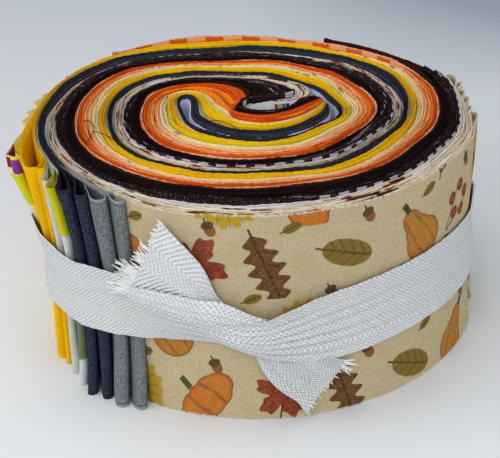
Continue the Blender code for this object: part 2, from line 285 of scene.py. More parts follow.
def tweedCloth(name):
    # black with rows of small pinkish dots, every second row moved on by half; pale threads lie
    # along the upper edge, and pale blocks stand on it where the tone is over 2
    pitch = 0.85
    finish = Finish(name, (0.009, 0.0035, 0.004), sheen=0.0)
    row = (finish.v / pitch).floor()
    dots = size((finish.u / pitch + row * 0.5) % 1.0 - 0.5, (finish.v / pitch) % 1.0 - 0.5)
    finish.paint((0.24, 0.145, 0.145), dots.under(0.17, 0.16) * (finish.noise(0.7, 0.7) * 1.2))
    finish.paint((0.24, 0.14, 0.14), finish.noise(2.1, 1.8, 2.0, 4.0).past(0.62, 16.0) * finish.top() * 0.85)
    finish.paint((0.55, 0.46, 0.46), finish.noise(0.12, 2.8, 1.0, 14.0).past(0.69, 18.0) * finish.top())
    blocks = (2.0 - finish.tone).under(0.0, 0.1) * (finish.u / 5.4 % 1.0).near(0.5, 0.27, 0.04)
    threads = finish.blots(0.3, 6.0, 1.0, 2.0, 0.75, 19.0)
    finish.paint((0.60, 0.54, 0.57), blocks * threads * finish.top(1.4))
    finish.weave()
    return finish.done()


def checkedCloth(name, ground, square, pitch=12.4):
    # squares where a stripe along and a stripe across don't meet, softened by the yarns' own mix,
    # and a deeper orange towards the inner ends
    finish = Finish(name, ground)
    across = (finish.u / pitch % 1.0).near(0.5, 0.25, 0.03)
    along = ((finish.v + 1.6) / pitch % 1.0).near(0.5, 0.25, 0.03)
    finish.paint(square, (across - along).abs() * finish.blots(0.5, 5.0, 1.0, 1.2, 1.0))
    finish.weave()
    finish.cutEdge((0.90, 0.58, 0.40), 0.4, 0.2)
    finish.paint((0.58, 0.07, 0.004), finish.tone.under(0.80, 0.2))
    return finish.done()


def creamCloth(name):
    # the strips under the printed one: cream, with a length of some motif's colour here and there
    # where the upper edge cuts through one, a pale selvedge at the inner end where the tone is
    # low, and on one strip, where it is over 4, a broken whitish upper edge
    finish = Finish(name, (0.57, 0.445, 0.250))
    thick = finish.weave()
    finish.paint((0.41, 0.32, 0.18), (thick - 0.55).abs() * 0.6)
    finish.cutEdge((0.72, 0.60, 0.44), 0.7)
    finish.paint((0.86, 0.78, 0.74), finish.noise(0.07, 0.5, 1.0, 71.0).past(0.55, 9.0) * finish.top() * 0.8)
    for shift, least, colour in ((31.0, 0.665, (0.075, 0.018, 0.010)), (47.0, 0.69, (0.40, 0.13, 0.010)),
                                 (59.0, 0.70, (0.22, 0.035, 0.010)), (83.0, 0.70, (0.030, 0.016, 0.012))):
        dashes = finish.noise(0.085, 0.10, 0.0, shift).past(least, 40.0)
        finish.paint(colour, dashes * finish.top() * finish.tone.under(1.15, 0.2))
    finish.paint((0.66, 0.64, 0.66), finish.tone.under(0.40, 0.01))
    broken = finish.noise(0.05, 0.6, 1.0, 91.0).past(0.36, 4.0)
    finish.paint((0.66, 0.61, 0.64), (4.2 - finish.tone).under(0.0, 0.2) * finish.top(1.2, 0.6) * broken)
    return finish.done()


def yellowCloth(name):
    # golden yellow with softer blotches, and one of these strips lemon in the core
    finish = Finish(name, (0.84, 0.445, 0.0015), sheen=0.0)
    finish.paint((0.90, 0.55, 0.004), finish.blots(0.2, 0.2, 3.0, 3.0, 0.5) * 0.6)
    finish.paint((0.66, 0.30, 0.001), finish.blots(1.2, 2.0, 2.0, 4.0, 0.2, 41.0) * 0.35)
    finish.paint((0.76, 0.56, 0.006), finish.tone.near(0.75, 0.012, 0.002))
    finish.weave()
    finish.paint((0.62, 0.32, 0.001), (finish.noise(2.6, 0.12, 1.0, 7.0) - 0.55).abs() * 0.8)
    finish.cutEdge((0.90, 0.62, 0.02), 0.1)
    return finish.done()


def limeCloth(name):
    # white with, at the fold, a lime patch near the top and a sage one near the foot
    finish = Finish(name, (0.66, 0.66, 0.62))
    high = finish.v + (finish.noise(0.10, 0.05, 1.0) - 0.5) * 8.0
    patch = finish.u.near(0.0, 11.0, 1.0)
    finish.paint((0.62, 0.56, 0.004), high.near(57.5, 9.5, 0.5) * patch)
    finish.paint((0.17, 0.205, 0.115), high.near(17.0, 9.5, 0.8) * patch)
    finish.weave()
    return finish.done()


def paleCloth(name):
    # pale yellow with darker blots, dotted and dashed along its edges, and at one strip's fold,
    # where u is nought, a lime corner with a violet, a dark red and a lemon patch above it
    finish = Finish(name, (0.90, 0.74, 0.36))
    finish.paint((0.72, 0.62, 0.22), finish.blots(0.35, 0.35, 2.0, 4.0, 0.3) * 0.5)
    corner = finish.u.near(0.0, 22.0, 1.0) * finish.tone.near(0.275, 0.012, 0.002)
    for low, high, start, end, patch in ((47.0, 57.5, -9.0, 9.0, (0.66, 0.62, 0.006)),
                                         (57.8, 62.6, -9.0, 0.5, (0.20, 0.05, 0.32)),
                                         (59.6, 64.5, 0.5, 9.0, (0.26, 0.010, 0.020)),
                                         (62.6, 64.5, -9.0, 0.5, (0.72, 0.68, 0.05))):
        level = finish.v.near((low + high) / 2, (high - low) / 2, 0.4)
        across = finish.u.near((start + end) / 2, (end - start) / 2, 0.4)
        finish.paint(patch, level * across * corner)
    finish.weave()
    finish.cutEdge((0.90, 0.78, 0.44), 0.5)
    rim = finish.rim(0.55, 0.3)
    dots = (finish.u / 0.95 % 1.0).near(0.5, 0.22, 0.2) * finish.noise(0.4, 0.4, 1.0, 5.0)
    finish.paint((0.52, 0.30, 0.07), dots * rim * 0.6)
    finish.paint((0.20, 0.08, 0.02), finish.noise(0.22, 0.5, 1.0, 31.0).past(0.66, 14.0) * rim * 0.85)
    return finish.done()


def leafPrint(name):
    # A tossed autumn print. Cells in bricks, each with one motif by its place in the pattern,
    # turned, sized and moved a little. A motif is a few formulas in its own x and y.
    cell = 21.5
    finish = Finish(name, (0.57, 0.445, 0.250))
    finish.paint((0.62, 0.50, 0.30), finish.blots(0.12, 0.16, 3.0, 3.0, 0.5) * 0.7)
    slubs = finish.noise(0.10, 2.2, 1.0, 9.0).most(finish.noise(2.2, 0.10, 1.0, 13.0))
    finish.paint((0.72, 0.62, 0.42), slubs.past(0.60, 5.0) * 0.45)
    finish.weave(depth=0.09)
    high = finish.v + 5.0
    row = (high / cell).floor()
    long = finish.u + (row % 2.0) * (cell * 0.5) + 5.0
    column = (long / cell).floor()
    pick = (column * 3.0 + row * 5.0) % 7.0
    chance = ((column * 12.9898 + row * 78.233).sin() * 43.7) % 1.0
    other = (chance * 57.3) % 1.0
    x0 = long % cell - cell / 2 + (chance - 0.5) * 4.0
    y0 = high % cell - cell / 2 + (other - 0.5) * 4.0
    turn = (chance - 0.5) * 2.2 + (other - 0.5) * 1.2
    grow = 0.84 - other * 0.20
    c, s = turn.cos() * grow, turn.sin() * grow
    x, y = x0 * c - y0 * s, x0 * s + y0 * c
    r = size(x, y)
    angle = y.apply("ARCTAN2", x)
    shade = finish.noise(0.5, 0.5, 3.0, 21.0)
    motifs = [pick.near(float(number), 0.5, 0.01) for number in range(7)]

    def put(number, colour, mask):
        finish.paint(colour, mask * motifs[number])

    # 0 maple leaf: five lobes from a cosine's fifth harmonic, with a toothed edge and veins
    lobe = r - ((angle * 2.5 + 0.8).cos().abs() * 3.6 + (angle * 15.0).cos() * 0.45 + 3.1)
    veins = (angle * 2.5 + 0.8).sin().near(0.0, 0.07, 0.05) * r.under(5.6, 0.4)
    put(0, (0.23, 0.024, 0.008), lobe.under(0, 0.4))
    put(0, (0.40, 0.07, 0.02), lobe.under(-0.6, 0.6) * shade.past(0.45, 5.0) * 0.6)
    put(0, (0.10, 0.012, 0.006), veins * 0.8)
    put(0, (0.10, 0.012, 0.006), (y + x * 0.3).near(-0.2, 0.22, 0.15) * x.near(-5.5, 3.6, 0.3))
    # 1 sunflower: sixteen petals round a dark disc
    petals = (angle * 8.0).cos().abs()
    put(1, (0.52, 0.32, 0.006), (r - petals * 1.9).under(5.4, 0.35))
    put(1, (0.24, 0.12, 0.01), petals.under(0.22, 0.2) * r.near(5.0, 1.6, 0.6) * 0.7)
    put(1, (0.045, 0.022, 0.008), r.under(3.3, 0.3))
    put(1, (0.16, 0.085, 0.02), r.near(2.2, 0.35, 0.5) * 0.7)
    # 2 squash: a bulb and a neck blended into one, ribbed, with a short stem
    body = (size(x, y + 2.6) - 4.7).least(size(x * 1.25, y - 3.2) - 3.0).least(size(x, y - 0.6) - 3.3)
    ribs = (x / (4.9 - (y + 2.6).abs() * 0.25) * 7.5).cos()
    put(2, (0.22, 0.070, 0.010), body.under(0, 0.3))
    put(2, (0.50, 0.185, 0.014), body.under(-0.35, 0.4))
    put(2, (0.22, 0.070, 0.010), ribs.under(-0.80, 0.2) * body.under(-0.5, 0.3) * 0.8)
    put(2, (0.64, 0.30, 0.035), ribs.under(0.2, 1.0) * body.under(-0.8, 0.8) * (shade - 0.35) * 1.4)
    put(2, (0.035, 0.028, 0.008), x.near(0.5, 0.65, 0.2) * y.near(7.0, 1.3, 0.3))
    # 3 oak leaf: a long leaf whose half width swells and shrinks along it
    half = (x * x * (-1 / 54.8) + 1.0).root() * ((x * 2.15).cos() * 0.95 + 2.6)
    inside = y.abs() - half
    ribs = ((y.abs() * 0.7 - x) * 2.15).cos().under(-0.93, 0.1)
    put(3, (0.115, 0.034, 0.008), inside.under(0, 0.35) * x.near(0.0, 7.4, 0.3))
    put(3, (0.21, 0.075, 0.016), inside.under(-0.7, 0.8) * x.near(0.0, 6.9, 0.6) * (shade - 0.3) * 1.6)
    put(3, (0.05, 0.016, 0.006), ribs * inside.under(-0.6, 0.4) * x.near(0.0, 6.6, 0.3) * 0.8)
    put(3, (0.05, 0.016, 0.006), y.near(0.0, 0.22, 0.15) * x.near(-0.8, 8.0, 0.3))
    # 4 pumpkin: five lobes side by side, darker between, and a green stem
    low = y + 0.6
    lobes = size(x, low * 1.1).least(size(x.abs() - 2.5, low * 1.08) + 0.2)
    lobes = lobes.least(size(x.abs() - 4.3, low * 1.15) + 0.9) - 4.3
    creases = (x / (1.0 - low.abs() * 0.06) * 1.25).cos().under(-0.86, 0.2)
    put(4, (0.25, 0.055, 0.008), lobes.under(0, 0.3))
    put(4, (0.56, 0.155, 0.010), lobes.under(-0.35, 0.4))
    put(4, (0.27, 0.05, 0.008), creases * lobes.under(-0.5, 0.3) * 0.8)
    put(4, (0.70, 0.27, 0.03), lobes.under(-0.9, 0.8) * (shade - 0.4) * 1.3)
    put(4, (0.045, 0.055, 0.012), (x - y * 0.25).near(-0.9, 0.75, 0.2) * y.near(4.9, 1.5, 0.3))
    # 5 berries: round ones along a forked twig
    berries = size(x - 0.3, y + 1.4)
    for bx, by in ((3.1, 0.6), (-3.0, 0.2), (1.6, 3.9), (-1.8, 3.7)):
        berries = berries.least(size(x - bx, y - by))
    twig = (x.abs() - (y + 5.5) * 0.33).near(0.0, 0.22, 0.15) * y.near(-0.8, 4.5, 0.3)
    put(5, (0.07, 0.036, 0.010), twig)
    put(5, (0.22, 0.022, 0.008), berries.under(1.35, 0.25))
    put(5, (0.45, 0.12, 0.05), berries.under(0.50, 0.3) * 0.6)
    # 6 round leaf in mustard, with veins
    leaf = (y.abs() - (x * x * (-1 / 34.0) + 1.0).root() * 3.2).under(0, 0.35) * x.near(0.0, 5.8, 0.2)
    put(6, (0.22, 0.135, 0.012), leaf)
    put(6, (0.10, 0.055, 0.010), ((y.abs() * 0.8 + x) * 2.6).sin().under(-0.86, 0.2) * leaf * 0.8)
    put(6, (0.09, 0.05, 0.010), y.near(0.0, 0.25, 0.15) * x.near(-0.8, 6.6, 0.2))
    # acorns and small leaves in the corners that the cells leave between them
    row = ((high + cell / 2) / cell).floor()
    long = finish.u + 5.0 + cell / 4 + (row % 2.0) * (cell / 2)
    y = (high + cell / 2) % cell - cell / 2
    x = long % cell - cell / 2
    acorn = ((long / cell).floor() + row) % 2.0
    x, y = x * 0.9 + y * 0.42, y * 0.9 - x * 0.42
    small = (y.abs() - (x * x * (-1 / 7.0) + 1.0).root() * 1.4).under(0, 0.3) * x.near(0.0, 2.6, 0.2)
    vein = y.near(0.0, 0.18, 0.15) * x.near(-0.7, 2.9, 0.2)
    finish.paint((0.24, 0.085, 0.016), size(x, (y + 0.6) * 0.8).under(1.55, 0.3) * acorn)
    finish.paint((0.075, 0.030, 0.010), size(x * 0.85, (y - 0.9) * 1.25).under(1.5, 0.3) * acorn)
    finish.paint((0.075, 0.030, 0.010), x.near(0.0, 0.25, 0.15) * y.near(2.5, 0.7, 0.2) * acorn)
    finish.paint((0.19, 0.12, 0.010), small * (1.0 - acorn))
    finish.paint((0.06, 0.04, 0.008), vein * (1.0 - acorn))
    grain = finish.noise(0.9, 3.4, 2.0, 17.0).most(finish.noise(3.4, 0.9, 2.0, 27.0))
    finish.paint((0.33, 0.245, 0.125), ((grain - 0.5) * 5.0).apply("ADD", 0.1, clamp=True) * 0.34)
    # the inner end is a pale selvedge with small test dots of colour printed on it
    finish.paint((0.86, 0.84, 0.87), finish.tone.under(0.47, 0.01))
    for place, dot in ((0.400, (0.45, 0.03, 0.10)), (0.412, (0.42, 0.50, 0.05)),
                       (0.424, (0.02, 0.16, 0.30)), (0.436, (0.01, 0.03, 0.12))):
        finish.paint(dot, finish.tone.near(place, 0.0055, 0.001) * finish.v.near(61.9, 0.9, 0.2))
    finish.cutEdge((0.78, 0.68, 0.54), 0.4, 0.3)
    return finish.done()


def tapeCloth(name):
    # Herringbone twill: ribs slope one way, then the other, in columns along the tape, so a rib's
    # phase is the length plus the place in its column. Fine floats run along the tape, and the
    # low parts of the relief are painted darker grey as shade.
    finish = Finish(name, (0.87, 0.865, 0.85), 0.92, 0.1)
    column, pitch, floatPitch = 8.4, 1.45, 0.58
    slope = ((finish.v / column) % 1.0 - 0.5).abs() * column
    wobble = (finish.noise(0.25, 0.25, 1.0) - 0.5) * 2.2
    ribs = ((finish.u + slope * 1.15) * (2 * np.pi / pitch) + wobble).sin()
    sway = (finish.noise(0.9, 0.9, 1.0, 4.0) - 0.5) * 5.0
    height = ribs + (finish.v * (2 * np.pi / floatPitch) + sway).sin() * 0.45
    finish.relief(height * 0.5, 0.42)
    # painted shade: the troughs between ribs and floats, where the relief is low, are painted darker grey
    finish.paint((0.36, 0.37, 0.39), (height * -0.75).apply("SUBTRACT", 0.12, clamp=True) * 0.66)
    finish.paint((0.66, 0.67, 0.66), finish.blots(0.06, 0.12, 3.0, 3.0, 0.3) * 0.22)
    return finish.done()


# plain cloths: colour, second colour, its share, the size of its blotches, the cut edge's colour
# and cover, and the shade at the inner ends
plainCloths = {
    "lavender": ("lavender_lining", (0.52, 0.52, 0.70), (0.66, 0.66, 0.76)),
    "white": ("white_cotton", (0.62, 0.61, 0.58), (0.50, 0.47, 0.40), 0.4, 0.25),
    "orange": ("orange_cotton", (0.84, 0.19, 0.006), (0.90, 0.31, 0.014), 0.8, 0.5, (0.90, 0.36, 0.03), 0.0),
    "peach": ("peach_cotton", (0.90, 0.42, 0.16), (0.86, 0.24, 0.03), 0.6, 0.3, (0.92, 0.56, 0.30), 0.1,
              (0.88, 0.27, 0.012)),
    "rust": ("rust_cotton", (0.58, 0.055, 0.003), (0.72, 0.11, 0.005), 0.8, 0.5, (0.62, 0.09, 0.008), 0.2),
    "blush": ("blush_cotton", (0.90, 0.54, 0.30), (0.88, 0.30, 0.07), 0.7, 0.35, (0.92, 0.66, 0.46), 0.2,
              (0.86, 0.22, 0.008)),
    "brown": ("brown_cotton", (0.024, 0.006, 0.004), (0.050, 0.013, 0.007), 0.7, 0.8, (0.050, 0.012, 0.007)),
    "black": ("black_cotton", (0.004, 0.0022, 0.0018), (0.010, 0.004, 0.003), 0.7, 0.8,
              (0.014, 0.006, 0.005)),
    "yarn": ("white_yarn", (0.86, 0.86, 0.84), (0.74, 0.75, 0.75), 0.4, 0.8),
}
finishes = {key: plainCloth(*values) for key, values in plainCloths.items()}
finishes["grey"] = chambray("grey_cotton", (0.085, 0.096, 0.098), (0.30, 0.325, 0.32), 0.8,
                            (0.03, 0.035, 0.05), (0.34, 0.36, 0.38))
finishes["navy"] = chambray("navy_cotton", (0.008, 0.011, 0.024), (0.085, 0.098, 0.15), 0.55,
                            (0.026, 0.026, 0.034))
finishes["check"] = checkedCloth("orange_check", (0.82, 0.37, 0.17), (0.64, 0.10, 0.003))
for key, maker, name in (("lime", limeCloth, "lime_print"), ("yellow", yellowCloth, "yellow_cotton"),
                         ("pale", paleCloth, "pale_print"), ("tweed", tweedCloth, "tweed_print"),
                         ("print", leafPrint, "cream_print"), ("cream", creamCloth, "cream_cotton"),
                         ("tape", tapeCloth, "white_tape")):
    finishes[key] = maker(name)
print("finishes made")


# the winding

pile = {
    # angle in degrees anticlockwise from +X seen from above, then distances in mm from the middle
    # of the pile's inner face, its navy, yellow and rust edges, the shares of the rest that are
    # black and black with tweed, and its outer face, which on later turns lies on the turn before
    "wound": (
        (244, 64.6, 65.0, 65.4, 65.8, 0.33, 0.66, 66.2),
        (236, 62.4, 64.2, 64.8, 65.2, 0.33, 0.66, 65.6),
        (228, 61.6, 63.8, 64.6, 65.0, 0.33, 0.66, 65.4),
        (222, 61.0, 63.9, 64.9, 65.4, 0.33, 0.66, 65.8),
        (210, 60.7, 64.0, 65.4, 66.0, 0.33, 0.66, 66.4),
        (195, 60.4, 63.1, 65.2, 66.0, 0.33, 0.66, 66.4),
        (180, 60.6, 63.1, 64.9, 66.0, 0.33, 0.66, 66.4),
        (165, 60.4, 63.6, 65.4, 66.8, 0.33, 0.66, 67.2),
        (150, 61.0, 65.0, 66.5, 68.2, 0.33, 0.66, 68.6),
        (135, 60.2, 65.0, 67.3, 69.2, 0.33, 0.66, 69.6),
        (120, 55.9, 61.4, 65.2, 69.2, 0.33, 0.66, 70.0),
        (105, 51.0, 55.8, 61.6, 68.2, 0.33, 0.66, 69.0),
        (90, 50.2, 55.2, 59.6, 65.6, 0.33, 0.66, 66.4),
        (75, 49.2, 54.1, 58.0, 63.0, 0.33, 0.66, 64.0),
        (60, 48.4, 53.2, 55.7, 61.4, 0.33, 0.66, 62.8),
        (45, 48.5, 52.7, 54.8, 61.2, 0.33, 0.66, 63.3),
        (30, 47.4, 52.4, 54.7, 60.4, 0.33, 0.66, 63.8),
        (15, 46.9, 50.2, 52.3, 59.2, 0.33, 0.66, 65.0),
        (0, 46.3, 48.0, 50.4, 57.4, 0.30, 0.64, 67.4),
        (-15, 44.7, 46.6, 48.9, 56.0, 0.27, 0.63, 68.0),
        (-30, 42.3, 44.4, 47.8, 53.5, 0.30, 0.60, 67.6),
        (-45, 41.9, 44.2, 47.6, 53.6, 0.32, 0.60, 67.4),
        (-60, 41.7, 44.1, 47.6, 52.4, 0.34, 0.60, 67.4),
        (-75, 40.4, 42.0, 45.4, 50.6, 0.34, 0.62, 67.2),
        (-90, 39.7, 40.9, 44.6, 50.0, 0.34, 0.64, 66.8),
        (-105, 40.2, 41.5, 44.9, 50.3, 0.30, 0.63, 65.8),
        (-117, 40.1, 41.5, 44.5, 50.3, 0.33, 0.63, 64.6),
        (-127, 40.3, 41.6, 44.4, 50.5, 0.38, 0.68, 62.1),
        (-135, 40.9, 42.0, 44.4, 50.8, 0.44, 0.76),
        (-150, 41.1, 42.2, 44.6, 51.4, 0.40, 0.72),
        (-165, 40.7, 42.0, 44.3, 52.0, 0.36, 0.70),
        (-180, 40.7, 42.5, 45.0, 52.2, 0.35, 0.70),
        (-195, 42.0, 43.7, 45.9, 53.5, 0.35, 0.70),
        (-210, 42.4, 44.5, 47.6, 54.3, 0.35, 0.70),
        (-225, 40.9, 43.4, 46.9, 54.0, 0.41, 0.76),
        (-240, 37.0, 38.6, 42.6, 49.0, 0.46, 0.80),
        (-255, 32.6, 34.0, 37.8, 44.2, 0.47, 0.75),
        (-270, 30.0, 31.1, 35.5, 42.4, 0.46, 0.70),
        (-285, 29.4, 30.5, 34.5, 42.0, 0.36, 0.60),
        (-300, 27.0, 28.3, 32.6, 40.3, 0.26, 0.53),
        (-315, 26.7, 28.0, 32.6, 40.1, 0.30, 0.62),
        (-330, 26.2, 27.5, 30.6, 39.0, 0.31, 0.68),
        (-345, 25.8, 27.0, 29.8, 38.9, 0.20, 0.66),
        (-360, 27.0, 28.2, 30.6, 38.8, 0.14, 0.66),
        (-375, 26.0, 27.1, 29.2, 37.1, 0.12, 0.76),
        (-390, 22.6, 23.7, 26.2, 35.1, 0.12, 0.80),
        (-405, 21.8, 22.8, 25.4, 34.8, 0.12, 0.82),
        (-420, 20.6, 21.8, 25.2, 34.7, 0.14, 0.82),
        (-435, 19.8, 21.1, 24.4, 33.5, 0.26, 0.80),
        (-450, 18.1, 19.5, 23.6, 32.5, 0.35, 0.76),
        (-465, 17.6, 18.8, 22.8, 32.4, 0.34, 0.68),
        (-480, 17.2, 18.3, 22.4, 32.5, 0.32, 0.62),
        (-495, 17.3, 18.5, 22.8, 32.8, 0.32, 0.64),
        (-510, 17.6, 18.9, 23.2, 32.6, 0.32, 0.66),
        (-525, 18.1, 19.7, 23.8, 32.6, 0.32, 0.67),
        (-540, 18.8, 20.2, 23.9, 32.7, 0.33, 0.68),
    ),
    # the core: plan points in mm of the inner face, the rust edge, the tweed edge and the outer
    # face, then the shares of navy and of navy with yellow inside, and of black within its band
    "core": (
        (-20.4, 6.5, -32.4, 8.0, -37.6, 9.7, -40.0, 10.4, 0.09, 0.35, 0.55),
        (-20.9, 10.0, -30.6, 16.2, -35.1, 18.6, -37.0, 19.6, 0.10, 0.34, 0.60),
        (-20.3, 12.2, -27.0, 20.8, -29.3, 25.1, -30.3, 27.0, 0.12, 0.34, 0.64),
        (-19.3, 12.9, -20.5, 23.9, -21.6, 28.3, -22.0, 30.2, 0.14, 0.34, 0.64),
        (-18.4, 12.2, -13.0, 24.3, -10.9, 28.9, -10.0, 30.8, 0.16, 0.34, 0.64),
        (-18.0, 9.8, -7.0, 23.0, -2.1, 27.4, 0.0, 29.3, 0.17, 0.34, 0.64),
        (-17.9, 6.0, -3.6, 20.4, 5.9, 25.0, 8.0, 26.5, 0.17, 0.36, 0.56),
        (-17.9, 2.0, -1.9, 18.0, 12.6, 20.6, 15.2, 21.6, 0.17, 0.38, 0.52),
        (-17.7, -1.5, -1.2, 16.0, 14.6, 17.4, 19.0, 16.8, 0.17, 0.40, 0.50),
        (-16.7, -4.8, -0.9, 14.6, 14.2, 15.6, 18.2, 14.2, 0.17, 0.42, 0.50),
        (-14.5, -8.3, -0.8, 13.0, 12.0, 14.5, 12.4, 13.2, 0.18, 0.44, 0.50),
        (-11.7, -11.6, -1.6, 10.8, 4.6, 13.6, 5.0, 12.6, 0.19, 0.46, 0.50),
        (-8.6, -13.7, -3.6, 8.3, -0.3, 10.8, 0.4, 10.2, 0.20, 0.48, 0.50),
        (-5.2, -15.6, -5.2, 5.2, -1.7, 6.4, -0.8, 6.4, 0.20, 0.50, 0.50),
        (-1.5, -16.9, -4.6, 2.2, -0.5, 3.6, 0.2, 4.2, 0.20, 0.50, 0.50),
        (2.5, -17.2, -2.0, -0.2, 1.7, 2.1, 2.0, 2.9, 0.21, 0.50, 0.50),
        (6.8, -18.2, 2.5, -1.8, 4.9, 1.4, 5.0, 2.3, 0.27, 0.50, 0.50),
        (10.9, -17.1, 7.5, -1.7, 8.2, 1.5, 8.0, 2.4, 0.29, 0.50, 0.50),
        (15.9, -14.3, 12.0, 0.0, 11.3, 2.9, 10.8, 3.7, 0.30, 0.50, 0.50),
        (20.7, -9.9, 15.6, 2.9, 13.7, 5.6, 13.0, 6.2, 0.31, 0.50, 0.50),
        (24.1, -3.6, 18.9, 6.2, 16.0, 9.5, 15.2, 10.2, 0.31, 0.50, 0.50),
        (24.8, 3.6, 22.5, 9.6, 20.9, 12.0, 20.2, 12.6, 0.30, 0.50, 0.50),
    ),
    "gap": 0.35,           # mm between two turns
    "spanSteps": 20,       # points worked out between two rows
}


def windingColumns():
    # seven curves side by side as plan points, from the inner face over five colour edges to the
    # outer face, and the angle that each point belongs to, which runs on past the last one in the core
    known = np.array([row[:2] for row in pile["wound"]])[::-1]
    rows = []
    for angle, inner, navy, yellow, rust, black, tweed, *outer in pile["wound"]:
        outer = outer[0] if outer else np.interp(angle + 360, *known.T) - pile["gap"]
        rest = outer - rust
        radii = (inner, navy, yellow, rust, rust + black * rest, rust + tweed * rest, outer)
        a = np.radians(angle)
        rows.append(np.outer(radii, (np.cos(a), np.sin(a))).ravel())
    for row in pile["core"]:
        inner, rust, tweed, outer = np.array(row[:8]).reshape(4, 2)
        navy, yellow, black = row[8:]
        rows.append(np.concatenate((inner, inner + navy * (rust - inner), inner + yellow * (rust - inner),
                                    rust, rust + black * (tweed - rust), tweed, outer)))
    curve = curveThrough(rows, pile["spanSteps"])
    angles = [row[0] for row in pile["wound"]]
    along = np.arange(len(curve)) / pile["spanSteps"]
    past = along - (len(angles) - 1)
    angle = np.where(past > 0, lastAngle - 1 - past, np.interp(along, np.arange(len(angles)), angles))
    return curve.reshape(len(curve), 7, 2), angle


lastAngle = pile["wound"][-1][0]
columns, columnAngle = windingColumns()

# The strips from the pile's inner face outwards: cloth, angle of the fold at its outer end, width
# of the fold in mm, mm that its upper edge stands above the rest
strips = (
    ("lavender", 231.0, 1.2, -0.9), ("grey", 236.4, 3.2, 0.0), ("grey", 231.4, 3.4, 0.0),
    ("navy", 226.6, 3.4, 0.0), ("navy", 222.4, 3.6, 0.3), ("lime", 218.4, 3.2, -0.6),
    ("white", 213.6, 2.6, -1.0), ("yellow", 209.8, 2.4, 0.2), ("yellow", 205.6, 3.6, 0.0),
    ("yellow", 200.0, 1.2, 0.2), ("yellow", 196.0, 1.2, 0.4), ("pale", 197.0, 2.4, -1.4),
    ("pale", 176.0, 1.3, 0.0), ("pale", 170.0, 1.4, -0.2), ("pale", 165.0, 1.3, 0.2),
    ("peach", 160.0, 0.9, 0.0), ("blush", 155.5, 0.8, 0.1), ("orange", 151.5, 0.9, -0.2),
    ("check", 147.0, 0.8, 0.0), ("orange", 143.0, 0.9, -0.2), ("orange", 139.5, 0.8, -0.1),
    ("rust", 136.0, 0.8, 0.3), ("rust", 133.0, 0.5, 0.1), ("check", 129.5, 1.0, 0.2),
    ("brown", 64.5, 1.5, 1.2), ("black", 61.0, 0.5, -0.2), ("black", 56.0, 0.5, 0.1),
    ("black", 51.0, 0.5, -0.2), ("black", 46.0, 0.5, 0.0), ("tweed", 41.0, 0.5, -0.1),
    ("tweed", 37.0, 0.5, 0.1), ("tweed", 33.0, 0.5, -0.2), ("tweed", 29.0, 0.5, 0.1),
    ("tweed", 24.0, 0.6, 0.9), ("cream", 18.0, 2.7, 1.0), ("cream", 13.5, 2.0, 0.5),
    ("cream", 9.0, 1.9, 0.3), ("cream", 4.5, 1.8, 0.1), ("cream", -0.4, 1.8, 0.0),
    ("print", -5.6, 2.0, 0.2),
)
